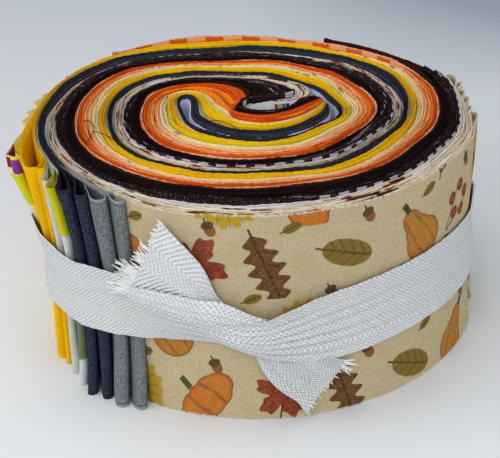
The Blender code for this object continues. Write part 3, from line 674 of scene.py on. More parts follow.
# strips whose folds lean or stand out: lean at the base in degrees, and how far the outer side
# reaches from the middle at the top, the waist and the base, 0 where it only lies on the next
standing = {
    0: (4.5, 0, 0, 0), 1: (4.5, 65.4, 64.5, 70.2), 2: (5.0, 67.9, 66.2, 72.2),
    3: (4.5, 69.2, 67.2, 71.0), 4: (4.6, 71.4, 67.9, 72.4), 5: (3.9, 71.4, 67.8, 70.8),
    6: (3.5, 69.4, 67.4, 69.0), 7: (2.5, 68.6, 67.1, 68.2), 8: (2.8, 70.6, 67.1, 68.0),
    11: (2.0, 71.2, 66.2, 66.6), 12: (0.0, 69.5, 0, 0), 13: (0.0, 69.8, 0, 0), 14: (0.0, 69.8, 0, 0),
}
cloth = {
    "bandStrips": (5, 6, 13, 5, 5, 6),    # strips in each band of the winding, from inside
    # angle where each band's strips start to lie free, degrees that takes, mm a free pair takes
    "looseBands": ((168, 24, 0.5), (168, 24, 0.48), (126, 16, 0.42),
                   (-22, 24, 0.58), (-22, 24, 0.58), (-22, 24, 0.58)),
    "looseFrom": (112.0, 112.0, 112.0, -52.0, -52.0, -52.0),   # angle where each band is laid by strips
    # heights of the sections, as shares of the width: of the laid tables, then of three kinds of strip
    "ringLevels": (0.0, 0.07, 0.19, 0.34, 0.5, 0.66, 0.82, 0.94, 1.0),
    "looseLevels": (0.0, 0.08, 0.28, 0.5, 0.72, 0.92, 1.0),
    "wallLevels": (0.0, 0.06, 0.14, 0.24, 0.35, 0.5, 0.65, 0.76, 0.88, 0.97, 1.0),
    "plainLevels": (0.0, 0.5, 1.0),
    # strips whose fold stands open at the top: how much wider, and how far back
    "mouths": {2: (0.8, 3), 3: (0.6, 2), 4: (0.8, 4), 5: (0.4, 4), 6: (0.4, 5), 8: (1.9, 26),
               11: (0.6, 16), 34: (0.3, 4), 39: (0.2, 4)},
    "fill": 0.86,                # share of its place that a ply's thickness takes
    "pinch": 1.1,                # mm that the tape draws the wall in
    "pinchReach": 11.0,          # mm above and below the tape's middle that this takes
    "footFlare": 1.2,            # mm that the wall stands out at its foot
    "flareReach": 9.0,           # mm of height that this takes
    "shiftDepth": 6.0,           # mm into the pile over which both fade
    "footLeft": (0.9, 188, 30),  # share of it that the left side lacks, at what angle, how far round
    # the left side below its top: mm that it stands further in, at what angle and how far round,
    # the height from which it comes out again and over how many mm, how deep in it fades
    "leftLean": (5.6, 178, 22, 28, 34, 14),
    "coreCalm": (190, 50),       # degrees before the start from which the wall's lean fades, and over what
    "mouthRise": (34, 26),       # height from which a fold stands open, and over how many mm
    "waistFold": 0.25,           # share that a fold is narrower under the tape
    "step": 1.5,                 # mm between two sections along a strip
    "coreStep": 0.9,             # mm between two in the core
    "foldReach": 14.0,           # mm behind a fold where the sections are closer
    "openFold": 1.6,             # mm of width over which a fold stands clear of the pile, and has more levels
    "leanReach": 45.0,           # mm behind a fold over which its lean fades
    "liftReach": 15.0,           # mm behind a fold over which it stands out from what is below
    "jitter": 0.10,              # how far a ply wanders in its place
    "endShort": (2, 1, 0, 1, 1, 1),    # how much sooner each band's strips end in the core
    "sink": (2.4, 50.0, 8.0),    # mm that the outer strips' inner ends stand lower, how far, and over what
    "riseReach": 45.0,           # mm from their folds that brown and cream strips stand higher
    "lowBack": (12, 22, 2.0, 118.0),   # strips that stand lower at the back, by how much, how far
    "fan": 0.7,                  # how much the orange strips spread in the core
    "levels": 0.16,              # mm that one ply stands above or below the next
    "pinking": 0.07,             # mm that a cut edge steps up and down
    "topWander": 0.36,           # mm that upper edges wander up and down
    "footWander": 0.25,          # mm that lower edges wander up
    "topLean": 0.16,             # mm that upper edges wander sideways
}
bandOf = np.repeat(np.arange(6), cloth["bandStrips"])
placeOf = np.concatenate([np.arange(n) for n in cloth["bandStrips"]])
innerStrips = sum(cloth["bandStrips"][:3])
ringAngles = np.arange(-70.0, 246.01, 0.5)
ringLevels = np.array(cloth["ringLevels"]) * stripWidth


def waistShare(z):
    return bell((z - waistHeight) / cloth["pinchReach"])


def wallShift(z, angle):
    # out at the foot, less so at the left, and in under the tape
    lack, left, around = cloth["footLeft"]
    flare = cloth["footFlare"] * (1 - lack * bell((angle - left) / around))
    return flare * np.exp(-z / cloth["flareReach"]) - cloth["pinch"] * waistShare(z)


def radiusOf(column, angles):
    # a column's distance from the middle on the first turn
    first = columnAngle >= angles[0] - 20
    radius = np.hypot(*columns[first, column].T)
    return np.interp(angles, columnAngle[first][::-1], radius[::-1])


def standingOut(top, waist, base):
    # a parabola through the three distances, or where only the top stands out a slope up to it
    # that starts 2.5 mm further in at 0.7 of the height
    heights = ringLevels / stripWidth
    if waist:
        return np.polyval(np.polyfit((0, waistHeight / stripWidth, 1), (base, waist, top), 2), heights)
    return np.interp(heights, (0, 0.7, 1), (0, top - 2.5, top))


def layStrips():
    # Folded strips are laid one over the other, from the inner face outwards: each lies on the
    # outer side of the last, its two plies open into a round fold at its end, and past its end
    # the next one lies on what is below. Kept as distances at every ring angle and level.
    edges = [radiusOf(c, ringAngles) for c in range(7)]
    z = ringLevels[:, None]
    laid = []
    behindStep = np.where(ringAngles > -5, 0.0, edges[6])
    outside = behindStep
    for number, (_, fold, width, _) in enumerate(strips):
        band = bandOf[number]
        if number in (0, innerStrips):
            below = np.repeat(edges[band][None], len(z), axis=0)
        lean, *reach = standing.get(number, (0.0, 0, 0, 0))
        freeFrom, freeOver, freePair = cloth["looseBands"][band]
        free = ease((ringAngles - freeFrom) / freeOver)
        tablePair = (edges[band + 1] - edges[band]) / cloth["bandStrips"][band]
        pair = tablePair * (1 - free) + freePair * free
        foldAt = fold + lean * (1 - z / stripWidth)
        radius = float(np.median(below[4][np.abs(ringAngles - fold) < 8]))
        arc = np.radians(foldAt - ringAngles[None]) * radius       # mm behind the fold
        mouthWide, mouthLong = cloth["mouths"].get(number, (0, 0))
        mouth = ease((z - cloth["mouthRise"][0]) / cloth["mouthRise"][1])
        wide = width * (1 - cloth["waistFold"] * waistShare(z)) + mouthWide * mouth
        # full width up to 0.3 widths behind the fold, and closed 1.5 widths and 1 mm further on
        opening = ease(1 - (arc - 0.3 * width) / (1.5 * width + 1.0 + mouthLong * mouth))
        half = pair / 2 + (wide / 2 - pair / 2) * opening
        present = arc > -width / 2
        centre = np.where(present, below + half, 0)
        if reach[0]:
            wanted = standingOut(*reach)[:, None] - wallShift(z, fold) - wide / 2
            at = np.interp(foldAt[:, 0], ringAngles, np.arange(len(ringAngles))).astype(int)
            lift = wanted - centre[np.arange(len(z)), at][:, None]
            centre = centre + np.maximum(lift, 0) * ease(1 - arc / cloth["liftReach"])
        centre = np.where(present, centre, below)
        laid.append({"centre": centre, "half": half, "pair": pair, "radius": radius})
        below = np.where(present, np.maximum(centre + half, below), below)
        if number == innerStrips - 1:
            outside = np.maximum(outside, below[4])
    return laid, np.where(ringAngles < 64, np.maximum(below[4], behindStep), outside)


laidStrips, outsideAt = layStrips()
farAngles = np.arange(-124.0, -70.0, 1.0)
faceAngles = np.concatenate([farAngles, ringAngles])
faceRadius = np.concatenate([radiusOf(6, farAngles), outsideAt])
print("strips laid", len(laidStrips))


def faceShift(angle, radius, z):
    # the wall's own lean in and out, fading with the depth below the outer face; at the left the
    # whole pile stands out at its top and is drawn in below
    turned = np.where(angle < -124, angle + 360, angle)
    turned = np.where(turned > 236, turned - 360, turned)
    depth = np.maximum(np.interp(turned, faceAngles, faceRadius) - radius, 0)
    lean, left, around, height, over, deep = cloth["leftLean"]
    drawn = lean * bell((turned - left) / around) * (1 - ease((z - height) / over)) * np.exp(-depth / deep)
    start, fade = cloth["coreCalm"]
    return wallShift(z, turned) * np.exp(-depth / cloth["shiftDepth"]) * ease((angle + start) / fade) - drawn


def tableAt(table, angle, z):
    # a laid table read at each angle (samples by levels) and each level's height
    row = np.interp(z, ringLevels, np.arange(len(ringLevels)))
    low = np.minimum(row.astype(int), len(ringLevels) - 2)
    part = row - low
    read = [np.interp(angle[:, i], ringAngles, table[low[i]]) * (1 - part[i])
            + np.interp(angle[:, i], ringAngles, table[low[i] + 1]) * part[i] for i in range(len(z))]
    return np.stack(read, axis=1)


def evenSteps(points, steps):
    # places on a polyline at the given steps apart: arc length read back at running sums
    lengths = np.hypot(*np.diff(points, axis=0).T)
    count = np.concatenate([[0], np.cumsum(lengths / ((steps[1:] + steps[:-1]) / 2))])
    return np.interp(np.linspace(0, count[-1], int(round(count[-1])) + 1), count, np.arange(len(points)))


def readAt(values, places):
    low = np.clip(np.floor(places).astype(int), 0, len(values) - 2)
    part = (places - low).reshape(-1, *([1] * (values.ndim - 1)))
    return values[low] * (1 - part) + values[low + 1] * part


def onCircle(radius, angle):
    a = np.radians(angle)
    return np.stack([radius * np.cos(a), radius * np.sin(a)], axis=-1)


def stripRibbon(number, seed):
    # One strip as a path: in the core it starts, runs out along the inner ply, turns round its
    # fold and comes back along the outer ply. Mid points are samples by levels by two.
    name, fold, width, _ = strips[number]
    lean = standing.get(number, (0.0,))[0]
    band, laid = bandOf[number], laidStrips[number]
    count = cloth["bandStrips"][band]
    kind = "wallLevels" if name == "print" else "looseLevels" if width > cloth["openFold"] else "plainLevels"
    z = np.array(cloth[kind]) * stripWidth
    looseFrom = cloth["looseFrom"][band]
    stop = len(columns) - 1 - int(cloth["endShort"][band] + 3 * abs(wander(number * 7.0, 3, 11)))
    inWound = columnAngle < looseFrom
    inWound[stop:] = False
    left, right = columns[inWound, band], columns[inWound, band + 1]
    angle = columnAngle[inWound]
    steps = np.where(angle < lastAngle - 1, cloth["coreStep"], cloth["step"])
    spread = 1 + cloth["fan"] * ease((lastAngle - 2 - angle) / 2) * (band == 2)
    plies = []
    for side in (0.25, 0.75):
        astray = cloth["jitter"] * wander(np.arange(len(left)), seed + int(4 * side), 55)
        share = (placeOf[number] + side + astray) / count
        path = left + (right - left) * (share ** spread)[:, None]
        places = evenSteps(path, steps)
        ply = np.hypot(*(readAt(right, places) - readAt(left, places)).T) / count / 2
        ply = ply * readAt(spread * share ** (spread - 1), places)
        spot = np.repeat(readAt(path, places)[:, None], len(z), axis=1)
        radius = np.hypot(spot[..., 0], spot[..., 1])
        shift = faceShift(readAt(angle, places)[:, None], radius, z[None])
        spot = spot * (1 + shift / radius)[..., None]
        plies.append((spot[::-1], ply[::-1]))       # from the core outwards
    # the loose part, as mm behind the fold and as an angle round it
    far, close = np.radians(fold - looseFrom) * laid["radius"], cloth["foldReach"]
    if far > close + 2:
        behind = np.concatenate([np.linspace(far, close, int((far - close) / cloth["step"]) + 1)[1:],
                                 np.linspace(close, 0, 19)[1:]])
    else:
        behind = np.linspace(far, 0, 12)[1:]
    behind = behind[:, None]
    turn = fold + lean * (1 - z / stripWidth)[None] * ease(1 - behind / cloth["leanReach"])
    turn = turn - np.degrees(behind / laid["radius"])
    centre = tableAt(laid["centre"], turn, z)
    half = tableAt(laid["half"], turn, z)
    ply = np.interp(turn, ringAngles, laid["pair"]) / 2
    mid = np.maximum(half - ply / 2, ply / 2)
    centre = centre + faceShift(turn, centre, z[None])
    bend = np.linspace(-90, 90, 9 if width > cloth["openFold"] else 6)[1:-1, None]
    bend = np.radians(bend)
    tipTurn = turn[-1:] + np.degrees(mid[-1:] * np.cos(bend) / centre[-1:])
    tipRadius = centre[-1:] + mid[-1:] * np.sin(bend)
    loose = onCircle(np.concatenate([centre - mid, tipRadius, (centre + mid)[::-1]]),
                     np.concatenate([turn, tipTurn, turn[::-1]]))
    plyLoose = ply[:, len(z) // 2]
    thick = np.concatenate([plies[0][1], plyLoose, np.full(len(bend), plyLoose[-1]), plyLoose[::-1],
                            plies[1][1][::-1]]) * cloth["fill"]
    return np.concatenate([plies[0][0], loose, plies[1][0][::-1]]), thick, z


def upperEdge(number, seed, u):
    # how far a strip's upper edge stands above the cut width along it: its own rise, by its fold
    # or away from its ends, the drop at the back and in the core, and small steps and waves
    name, _, _, rise = strips[number]
    fromEnd = np.minimum(u, u[-1] - u)
    outwards = u - u[len(u) // 2]
    fromFold = np.abs(outwards)
    if name in ("cream", "print", "brown"):
        rise = rise * ease((cloth["riseReach"] - fromFold) / 30 + 0.5)
    elif rise > 0.5:
        rise = rise * ease(fromEnd / 60 - 2)
    firstLow, lastLow, drop, dropReach = cloth["lowBack"]
    if firstLow <= number <= lastLow:
        rise = rise - drop * ease((dropReach - fromFold) / 30 + 0.5)
    if name in ("cream", "print"):
        depth, where, over = cloth["sink"]
        rise = rise - depth * ease((where - fromEnd) / over + 0.5)
    outerPly = ease(outwards / 60 + 0.5) - 0.5
    return (rise + cloth["pinking"] * np.where(np.arange(len(u)) % 2, 1, -1)
            + cloth["topWander"] * wander(u, seed + 11, 60)
            + cloth["levels"] * (np.sin(seed * 2.7) + 2 * outerPly * np.sin(seed * 4.9)))


def ribbonMesh(number, seed, path, thick, z):
    # The path's cross-section is a thin upright slip: both skins by levels, half a thickness to
    # each side of the path, a rounded top and bottom, carried along the path with flat ends.
    samples, levels = path.shape[:2]
    forward = unit(np.gradient(path, axis=0))
    side = np.stack([-forward[..., 1], forward[..., 0]], axis=2)
    u = runningLength(path[:, levels // 2])
    high = upperEdge(number, seed, u)
    low = cloth["footWander"] * (1 + wander(u, seed + 17, 70)) / 2
    heights = low[:, None] + (stripWidth + high - low)[:, None] * (z / stripWidth)[None]
    lean = cloth["topLean"] * wander(u, seed + 23, 34)[:, None] * ((z / stripWidth) ** 6)[None]
    half = thick[:, None, None] / 2
    centre = path + side * lean[..., None]
    skinA = np.concatenate([centre + side * half, heights[..., None]], axis=2)
    skinB = np.concatenate([centre - side * half, heights[..., None]], axis=2)[:, ::-1]
    top = np.concatenate([centre[:, -1], heights[:, -1, None] + 0.12], axis=1)[:, None]
    foot = np.concatenate([centre[:, 0], heights[:, 0, None]], axis=1)[:, None]
    ring = np.concatenate([skinA, top, skinB, foot], axis=1)
    around = ring.shape[1]
    a = np.arange(levels - 1)
    b = 2 * levels - a
    cap = np.stack([a, a + 1, b - 1, b], axis=1)
    last = (samples - 1) * around
    faces = np.concatenate([gridFaces(samples, around, ringCols=True), cap[:, ::-1], cap + last])
    corners = [[levels - 1, levels + 1, levels], [0, around - 1, 2 * levels]]
    corners += [[last + n for n in reversed(three)] for three in corners]
    v = np.concatenate([z, [stripWidth + 0.3], z[::-1], [-0.3]])
    uv = np.stack(np.broadcast_arrays(u[:, None], v[None]), axis=2).reshape(-1, 2)
    return ring.reshape(-1, 3), faces.tolist() + corners, uv


def clothPlaces(number, path, uv):
    # where u starts on a strip, and the tone that tells its finish where it changes
    name = strips[number][0]
    u = uv[:, 0]
    fromEnd = np.minimum(u - u.min(), u.max() - u)
    outwards = u - u[len(u) // 2]      # mm along the outer ply from the fold
    fromFold = np.abs(outwards)
    if name in ("print", "cream"):
        # u is length along the outer ply from the point that faces the front, rising to the right, and
        # moved on for each strip; the tone rises over the last 100 mm and again near the fold, and
        # strip 34 has its own upper edge
        turn = np.degrees(np.arctan2(path[:, 0, 1], path[:, 0, 0]))
        front = np.argmax((np.arange(len(path)) > len(path) * 0.45) & (turn < -90))
        facing = u[front * (len(u) // len(path))]
        tone = np.minimum(fromEnd, 100) / 100 + ease(1.6 - fromFold / 40) + 4.0 * (number == 34)
        return uv * (-1, 1) + (facing + 31.0 * (39 - number), 0), tone
    if name in ("peach", "blush", "check"):
        return uv, np.minimum(fromEnd, 100) / 100
    if name == "grey":
        return uv, ease(1.8 - fromFold / 22)
    # the tone is the strip's number, more near its ends, and over 2 where strip 33 shows its blocks
    shown = (np.abs(outwards - 50) < 55) | (np.abs(outwards - 480) < 110)
    tone = number / 40 + 0.5 * (fromEnd < 250) + 3.0 * shown * (number == 33)
    if name in ("pale", "lime"):
        uv = uv - (u[len(u) // 2], 0)
    return uv, tone


standsFor = {"grey": ("end_grey_front", "end_grey_back"), "navy": ("end_navy_front", "end_navy_back"),
             "yellow": ("end_yellow_front", "end_yellow_back"), "lime": ("end_lime",),
             "white": ("end_white",), "pale": ("end_pale_yellow",), "check": ("end_check",),
             "cream": ("end_cream_back", "end_cream_middle"), "print": ("end_cream_front",),
             "brown": ("end_brown",)}
outlines = []
groups = {}
for number, strip in enumerate(strips):
    seed = 40 + 3 * number
    path, thick, z = stripRibbon(number, seed)
    outlines.append((path, z))
    points, faces, uv = ribbonMesh(number, seed, path, thick, z)
    groups.setdefault(strip[0], []).append((points, faces, *clothPlaces(number, path, uv)))
for name, parts in groups.items():
    piece = meshObject("strips_" + name, parts, finishes[name])
    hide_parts("roll", *standsFor.get(name, ()))
    print(name, len(parts), "strips")


# the tape round the waist

tape = {
    "width": 21.0,         # mm
    "length": 500.0,       # mm, once round and both ends
    "ring": 414.7,         # mm round the band, a whole number of ribs
    "thick": 0.5,
    "levels": (0.0, 8.0, 17.0, 24.0, 31.0, 38.0, 45.0, 54.0, 62.0),    # mm, where the roll's outline is taken
    "bandOff": 0.25,       # mm between the tape and what it is drawn over
    "wallFrom": 56.0,      # mm from the middle from which cloth counts as the roll's side
    "clear": 0.15,         # mm from the strips' mid planes to their outer skins
    "knotAt": 270.5,       # degrees
    "yarn": 0.17,          # mm, the radius of a frayed yarn
    "curl": 0.06,          # how far it bends, as a share of its length
    "rooted": (0.8, 0.25), # mm that it starts inside the cloth, along and below the front
    # the band all round: angle, lower edge, upper edge, stand-off at the lower edge, the middle
    # and the upper edge
    "band": (
        (0, 19.2, 40.0, 0.0, 0.0, 0.0),
        (30, 19.8, 40.6, 0.0, 0.1, 0.0),
        (75, 20.4, 41.2, 0.0, 0.0, 0.1),
        (120, 20.6, 41.6, 0.1, 0.0, 0.0),
        (165, 20.6, 41.6, 0.0, 0.1, 0.0),
        (195, 20.8, 41.8, 0.0, 0.0, 0.1),
        (212, 21.0, 41.6, 0.0, 0.1, 0.1),
        (222, 22.0, 41.8, 0.0, 0.1, 0.1),
        (232, 22.2, 42.2, 0.0, 0.1, 0.2),
        (241, 22.6, 39.6, 0.1, 0.3, 0.1),
        (250, 24.2, 36.8, 0.3, 0.7, 0.1),
        (257, 25.2, 34.6, 0.6, 1.2, 0.3),
        (262, 25.2, 33.2, 1.0, 2.2, 1.3),
        (266, 23.4, 32.2, 1.3, 3.3, 2.8),
        (270, 21.8, 32.6, 1.7, 3.8, 3.4),
        (274, 20.7, 34.2, 1.9, 3.6, 3.1),
        (280, 19.3, 37.0, 1.6, 2.4, 2.2),
        (286, 18.4, 38.7, 1.0, 1.4, 1.3),
        (292, 18.2, 39.3, 0.6, 0.7, 0.7),
        (302, 18.8, 40.2, 0.2, 0.3, 0.3),
        (317, 19.2, 40.8, 0.0, 0.1, 0.1),
        (331, 18.9, 40.4, 0.0, 0.0, 0.0),
        (345, 18.8, 40.0, 0.0, 0.0, 0.0),
        (360, 19.2, 40.0, 0.0, 0.0, 0.0),
    ),
    # pleats drawn together at the knot: place across, depth, width across, the angles on each
    # side of the knot over which they fade
    "pleats": ((0.14, 0.5, 0.035, 14, 20), (0.29, 0.45, 0.03, 12, 34), (0.42, 0.7, 0.035, 20, 24),
               (0.53, 0.4, 0.03, 9, 44), (0.66, 0.6, 0.04, 16, 30), (0.80, 0.35, 0.03, 10, 18)),
    # the upper end from the knot to its frayed edge: angle and height of its far edge, of the
    # line where its lower part is folded over to the front, and of the edge of that part
    "upperEnd": (
        ((273.5, 31.6), (272.5, 29.0), (273.2, 32.2)),
        ((268.9, 33.6), (267.8, 30.4), (268.4, 34.9)),
        ((265.6, 35.6), (263.6, 30.5), (265.0, 37.2)),
        ((262.4, 37.6), (260.0, 30.7), (261.3, 38.6)),
        ((260.6, 41.2), (256.0, 30.9), (257.0, 38.5)),
        ((258.5, 48.0), (251.4, 31.4), (253.0, 38.9)),
        ((255.0, 53.6), (246.6, 32.6), (248.0, 39.0)),
        ((251.6, 57.9), (241.8, 33.7), (243.0, 39.0)),
        ((249.4, 61.0), (238.0, 35.0), (239.2, 38.6)),
    ),
    # the lower end, from behind the knot to its frayed edge: its left and right edges
    "lowerEnd": (
        ((267.8, 25.5), (275.0, 27.0)),
        ((269.5, 21.3), (279.5, 24.0)),
        ((271.1, 16.9), (283.0, 22.0)),
        ((273.2, 12.6), (285.6, 20.0)),
        ((275.9, 9.2), (287.4, 18.6)),
        ((278.7, 6.2), (288.9, 17.6)),
        ((280.7, 2.2), (290.0, 16.8)),
    ),
    # frayed yarns along the two cut edges: end, between which columns, shortest and longest in mm
    # and their number, how far they spread and stand off, seed
    "frays": (
        ("upper", (0, 12), (1.2, 2.4, 34), 0.12, 0.02, 3),
        ("upper", (11, 24), (1.8, 4.4, 48), 0.20, 0.03, 5),
        ("upper", (22, 33), (4.0, 8.0, 72), 0.24, 0.06, 7),
        ("upper", (36, 54), (2.5, 6.0, 30), 0.20, 0.03, 9),
        ("lower", (0, 30), (0.8, 2.4, 52), 0.20, 0.05, 11),
        ("lower", (29, 33), (3.5, 6.0, 18), 0.22, 0.05, 13),
    ),
}


def hullTable():
    # the outline that a tight band takes: at each level the pile's furthest reach in every
    # direction gives a half plane, and the band lies where those half planes first cut a ray;
    # planes nearly along the ray, whose cosine is under 0.3, cut it too far out to count
    directions = np.radians(np.arange(0, 360, 1.0))
    unitCircle = np.stack([np.cos(directions), np.sin(directions)])
    rays = np.radians(np.arange(0, 361, 1.0))
    table = []
    for z in tape["levels"]:
        spots = []
        for path, heights in outlines:
            row = np.interp(z, heights, np.arange(len(heights)))
            low = min(int(row), len(heights) - 2)
            at = path[:, low] * (1 - row + low) + path[:, low + 1] * (row - low)
            spots.append(at[np.hypot(at[:, 0], at[:, 1]) > tape["wallFrom"]])
        reach = (np.concatenate(spots) @ unitCircle).max(axis=0) + tape["clear"]
        facing = np.cos(directions[None] - rays[:, None])
        crossing = reach[None] / np.maximum(facing, 0.3)
        table.append(np.where(facing > 0.3, crossing, np.inf).min(axis=1))
    return np.array(table)


hulls = hullTable()


def roundTheRoll(angle, z, off):
    # a place on the roll's side: angle, height and mm off the drawn-tight outline
    row = np.interp(z, tape["levels"], np.arange(len(tape["levels"])))
    low = np.minimum(row.astype(int), len(tape["levels"]) - 2)
    left = np.mod(angle, 360).astype(int)
    part, turn = row - low, np.mod(angle, 360) - left
    near = hulls[low, left] * (1 - turn) + hulls[low, left + 1] * turn
    far = hulls[low + 1, left] * (1 - turn) + hulls[low + 1, left + 1] * turn
    spot = onCircle(near * (1 - part) + far * part + off, angle)
    return np.concatenate([spot, z[..., None]], axis=-1)


def slab(front, uv, closed=False):
    # A sheet with its own thickness: the front grid, the same grid set back along its normals,
    # and a strip of faces round the rim. Rows run along the cloth, columns across it.
    rows, cols = front.shape[:2]
    along = (np.roll(front, -1, 0) - np.roll(front, 1, 0)) if closed else np.gradient(front, axis=0)
    normal = unit(np.cross(np.gradient(front, axis=1), along))
    points = np.concatenate([front.reshape(-1, 3), (front - normal * tape["thick"]).reshape(-1, 3)])
    back = rows * cols
    grid = gridFaces(rows, cols, ringRows=closed)
    faces = [grid, grid[:, [0, 3, 2, 1]] + back]
    k = np.arange(rows if closed else rows - 1)
    for column, order in ((0, 1), (cols - 1, -1)):
        a, b = k * cols + column, (k + 1) % rows * cols + column
        faces.append(np.stack([a, b, b + back, a + back], 1)[:, ::order])
    if not closed:
        for row, order in ((0, -1), (rows - 1, 1)):
            a = row * cols + np.arange(cols - 1)
            faces.append(np.stack([a, a + 1, a + 1 + back, a + back], 1)[:, ::order])
    return points, np.concatenate(faces).tolist(), np.concatenate([uv.reshape(-1, 2)] * 2), 0.5


def tapeBand():
    # a ring round the pile between its two edges, its stand-off a parabola across the width,
    # and pleats as soft furrows that run along it and fade away from the knot
    table = np.array(tape["band"], float)
    angle = np.arange(0, 360, 0.75)
    lower, upper, offLow, offMid, offHigh = (
        np.convolve(np.concatenate([v[-4:], v, v[:4]]), np.ones(9) / 9, "valid")
        for v in (np.interp(angle, table[:, 0], column) for column in table[:, 1:].T))
    t = np.linspace(0, 1, 40)[None]
    lower = lower + 0.15 * wander(angle * 1.15, 5, 9)
    upper = upper + 0.15 * wander(angle * 1.15, 6, 8)
    z = lower[:, None] + (upper - lower)[:, None] * t
    off = (offLow[:, None] * (1 - t) * (1 - 2 * t) + offMid[:, None] * 4 * t * (1 - t)
           + offHigh[:, None] * t * (2 * t - 1))
    fromKnot = angle[:, None] - tape["knotAt"]
    for place, depth, wide, leftFade, rightFade in tape["pleats"]:
        fade = bell(fromKnot / np.where(fromKnot < 0, leftFade, rightFade))
        drift = place + 0.0016 * fromKnot * np.sin(place * 40)
        off = off - depth * fade * (bell((t - drift) / wide) - 0.5 * bell((t - drift - 0.07) / 0.05))
    off = off + tape["bandOff"] + tape["thick"] + 0.12 * wander(angle, 8, 26)[:, None] * (t - 0.5)
    front = roundTheRoll(np.broadcast_to(angle[:, None], z.shape), z, off)
    uv = np.stack(np.broadcast_arrays(angle[:, None] / 360 * tape["ring"], tape["width"] * t), 2)
    return slab(front, uv, closed=True)


def tapeUpperEnd():
    # Rows from the knot out to the frayed edge, each one a J: down the back from the far edge to
    # the fold line, round it, and up the front to the near edge. Off the roll, the back stands at
    # 1.3 mm, swells by 0.9 mm in its middle and lifts by 1.6 mm at its far corner, with waves that
    # fade from the knot and a furrow beside the fold; the front stands off it by a half sine.
    rows = curveThrough([np.ravel(row) for row in tape["upperEnd"]], 9).reshape(-1, 3, 2)
    s = np.linspace(0, 1, len(rows))[:, None]
    t = np.linspace(0, 1, 34)[None]
    w = np.linspace(0, 1, 22)[None, 1:]
    spread = ease(s * 1.6)
    back = rows[:, None, 0] * (1 - t)[..., None] + rows[:, None, 1] * t[..., None]
    backOff = 1.3 + 1.6 * s**2 * (1 - t) ** 1.5 + 0.9 * np.sin(np.pi * t) * spread * (1 - 0.4 * s)
    backOff = backOff + 0.16 * np.sin(2 * np.pi * (5.3 * t + 0.3)) * (1 - s) * spread \
        - 0.5 * bell((t - 0.72) / 0.10) * spread
    front = rows[:, None, 1] * (1 - w)[..., None] + rows[:, None, 2] * w[..., None]
    frontOff = 1.3 + (1 - 0.55 * s) * (0.5 + 1.9 * np.sin(np.pi * np.minimum(w * 0.72 + 0.1, 1))) \
        + 0.12 * np.sin(2 * np.pi * (3.2 * w + 0.2)) * np.sin(np.pi * w)
    across = np.concatenate([back, front], axis=1)
    grid = roundTheRoll(across[..., 0], across[..., 1], np.concatenate([backOff, frontOff], axis=1))
    v = np.concatenate([t * 0.72, 0.72 + 0.28 * w], axis=1) * tape["width"]
    uv = np.stack(np.broadcast_arrays(runningLength(grid[:, 20])[:, None], v), 2)
    return slab(grid[:, ::-1], uv[:, ::-1]), grid


def tapeLowerEnd():
    # rows from behind the knot to the frayed edge, 0.9 mm off the wall and more at the right and
    # towards the end, in a shallow trough with fine waves that fade from the knot
    rows = curveThrough([np.ravel(row) for row in tape["lowerEnd"]], 8).reshape(-1, 2, 2)
    s = np.linspace(0, 1, len(rows))[:, None]
    t = np.linspace(0, 1, 34)[None]
    place = rows[:, None, 0] * (1 - t)[..., None] + rows[:, None, 1] * t[..., None]
    off = 0.9 + 0.5 * s + 0.7 * t * ease(s * 2) + 0.35 * np.sin(2 * np.pi * (1.4 * t + 0.2)) * ease(s * 1.5)
    off = off + 0.14 * np.sin(2 * np.pi * 4.5 * t) * (1 - s)
    grid = roundTheRoll(place[..., 0], np.maximum(place[..., 1], 0.7), off)
    uv = np.stack(np.broadcast_arrays(runningLength(grid[:, 12])[:, None], tape["width"] * t), 2)
    return slab(grid, uv), grid


def tubes(lines, radius, reference, sides):
    # a small ring of sides carried along each line (lines by joints by three), with flat ends
    n, joints = lines.shape[:2]
    along = unit(np.gradient(lines, axis=1))
    one = unit(np.cross(along, reference))
    two = np.cross(along, one)
    a = np.linspace(0, 2 * np.pi, sides, endpoint=False)[:, None]
    ring = lines[:, :, None] + (one[:, :, None] * np.cos(a) + two[:, :, None] * np.sin(a)) * radius
    starts = np.arange(n)[:, None] * joints * sides
    faces = (gridFaces(joints, sides, ringCols=True)[None] + starts[..., None]).reshape(-1, 4)
    ends = starts + np.arange(sides)[None]
    caps = ends[:, ::-1].tolist() + (ends + (joints - 1) * sides).tolist()
    return ring.reshape(-1, 3), faces.tolist() + caps


def yarns(starts, ways, lengths, normals, seed):
    # loose yarns: each leaves its start along its own way, sags and curls with a slow sine, and
    # is drawn in at the tip
    rng = np.random.default_rng(seed)
    n, joints, sides, radius = len(starts), 7, 4, tape["yarn"]
    s = np.linspace(0, 1, joints)[None, :, None]
    long = lengths[:, None, None]
    bend = rng.normal(0, 1, (n, 1, 3)) * tape["curl"]
    wave = rng.uniform(0, 6.3, (n, 1, 1))
    sway = np.cross(ways, normals)[:, None]
    line = starts[:, None] + long * (ways[:, None] * s + bend * s**2 + sway * np.sin(s * 5 + wave) * 0.05 * s)
    line[..., 2] = np.maximum(line[..., 2], radius + 0.05)
    points, faces = tubes(line, radius * (1 - 0.45 * s**4)[..., None], (0.3, 0.2, 0.93), sides)
    uv = np.stack(np.broadcast_arrays(s * long, 0 * s), 3).reshape(-1, 2)
    return points, faces, np.repeat(uv, sides, axis=0), 0.5


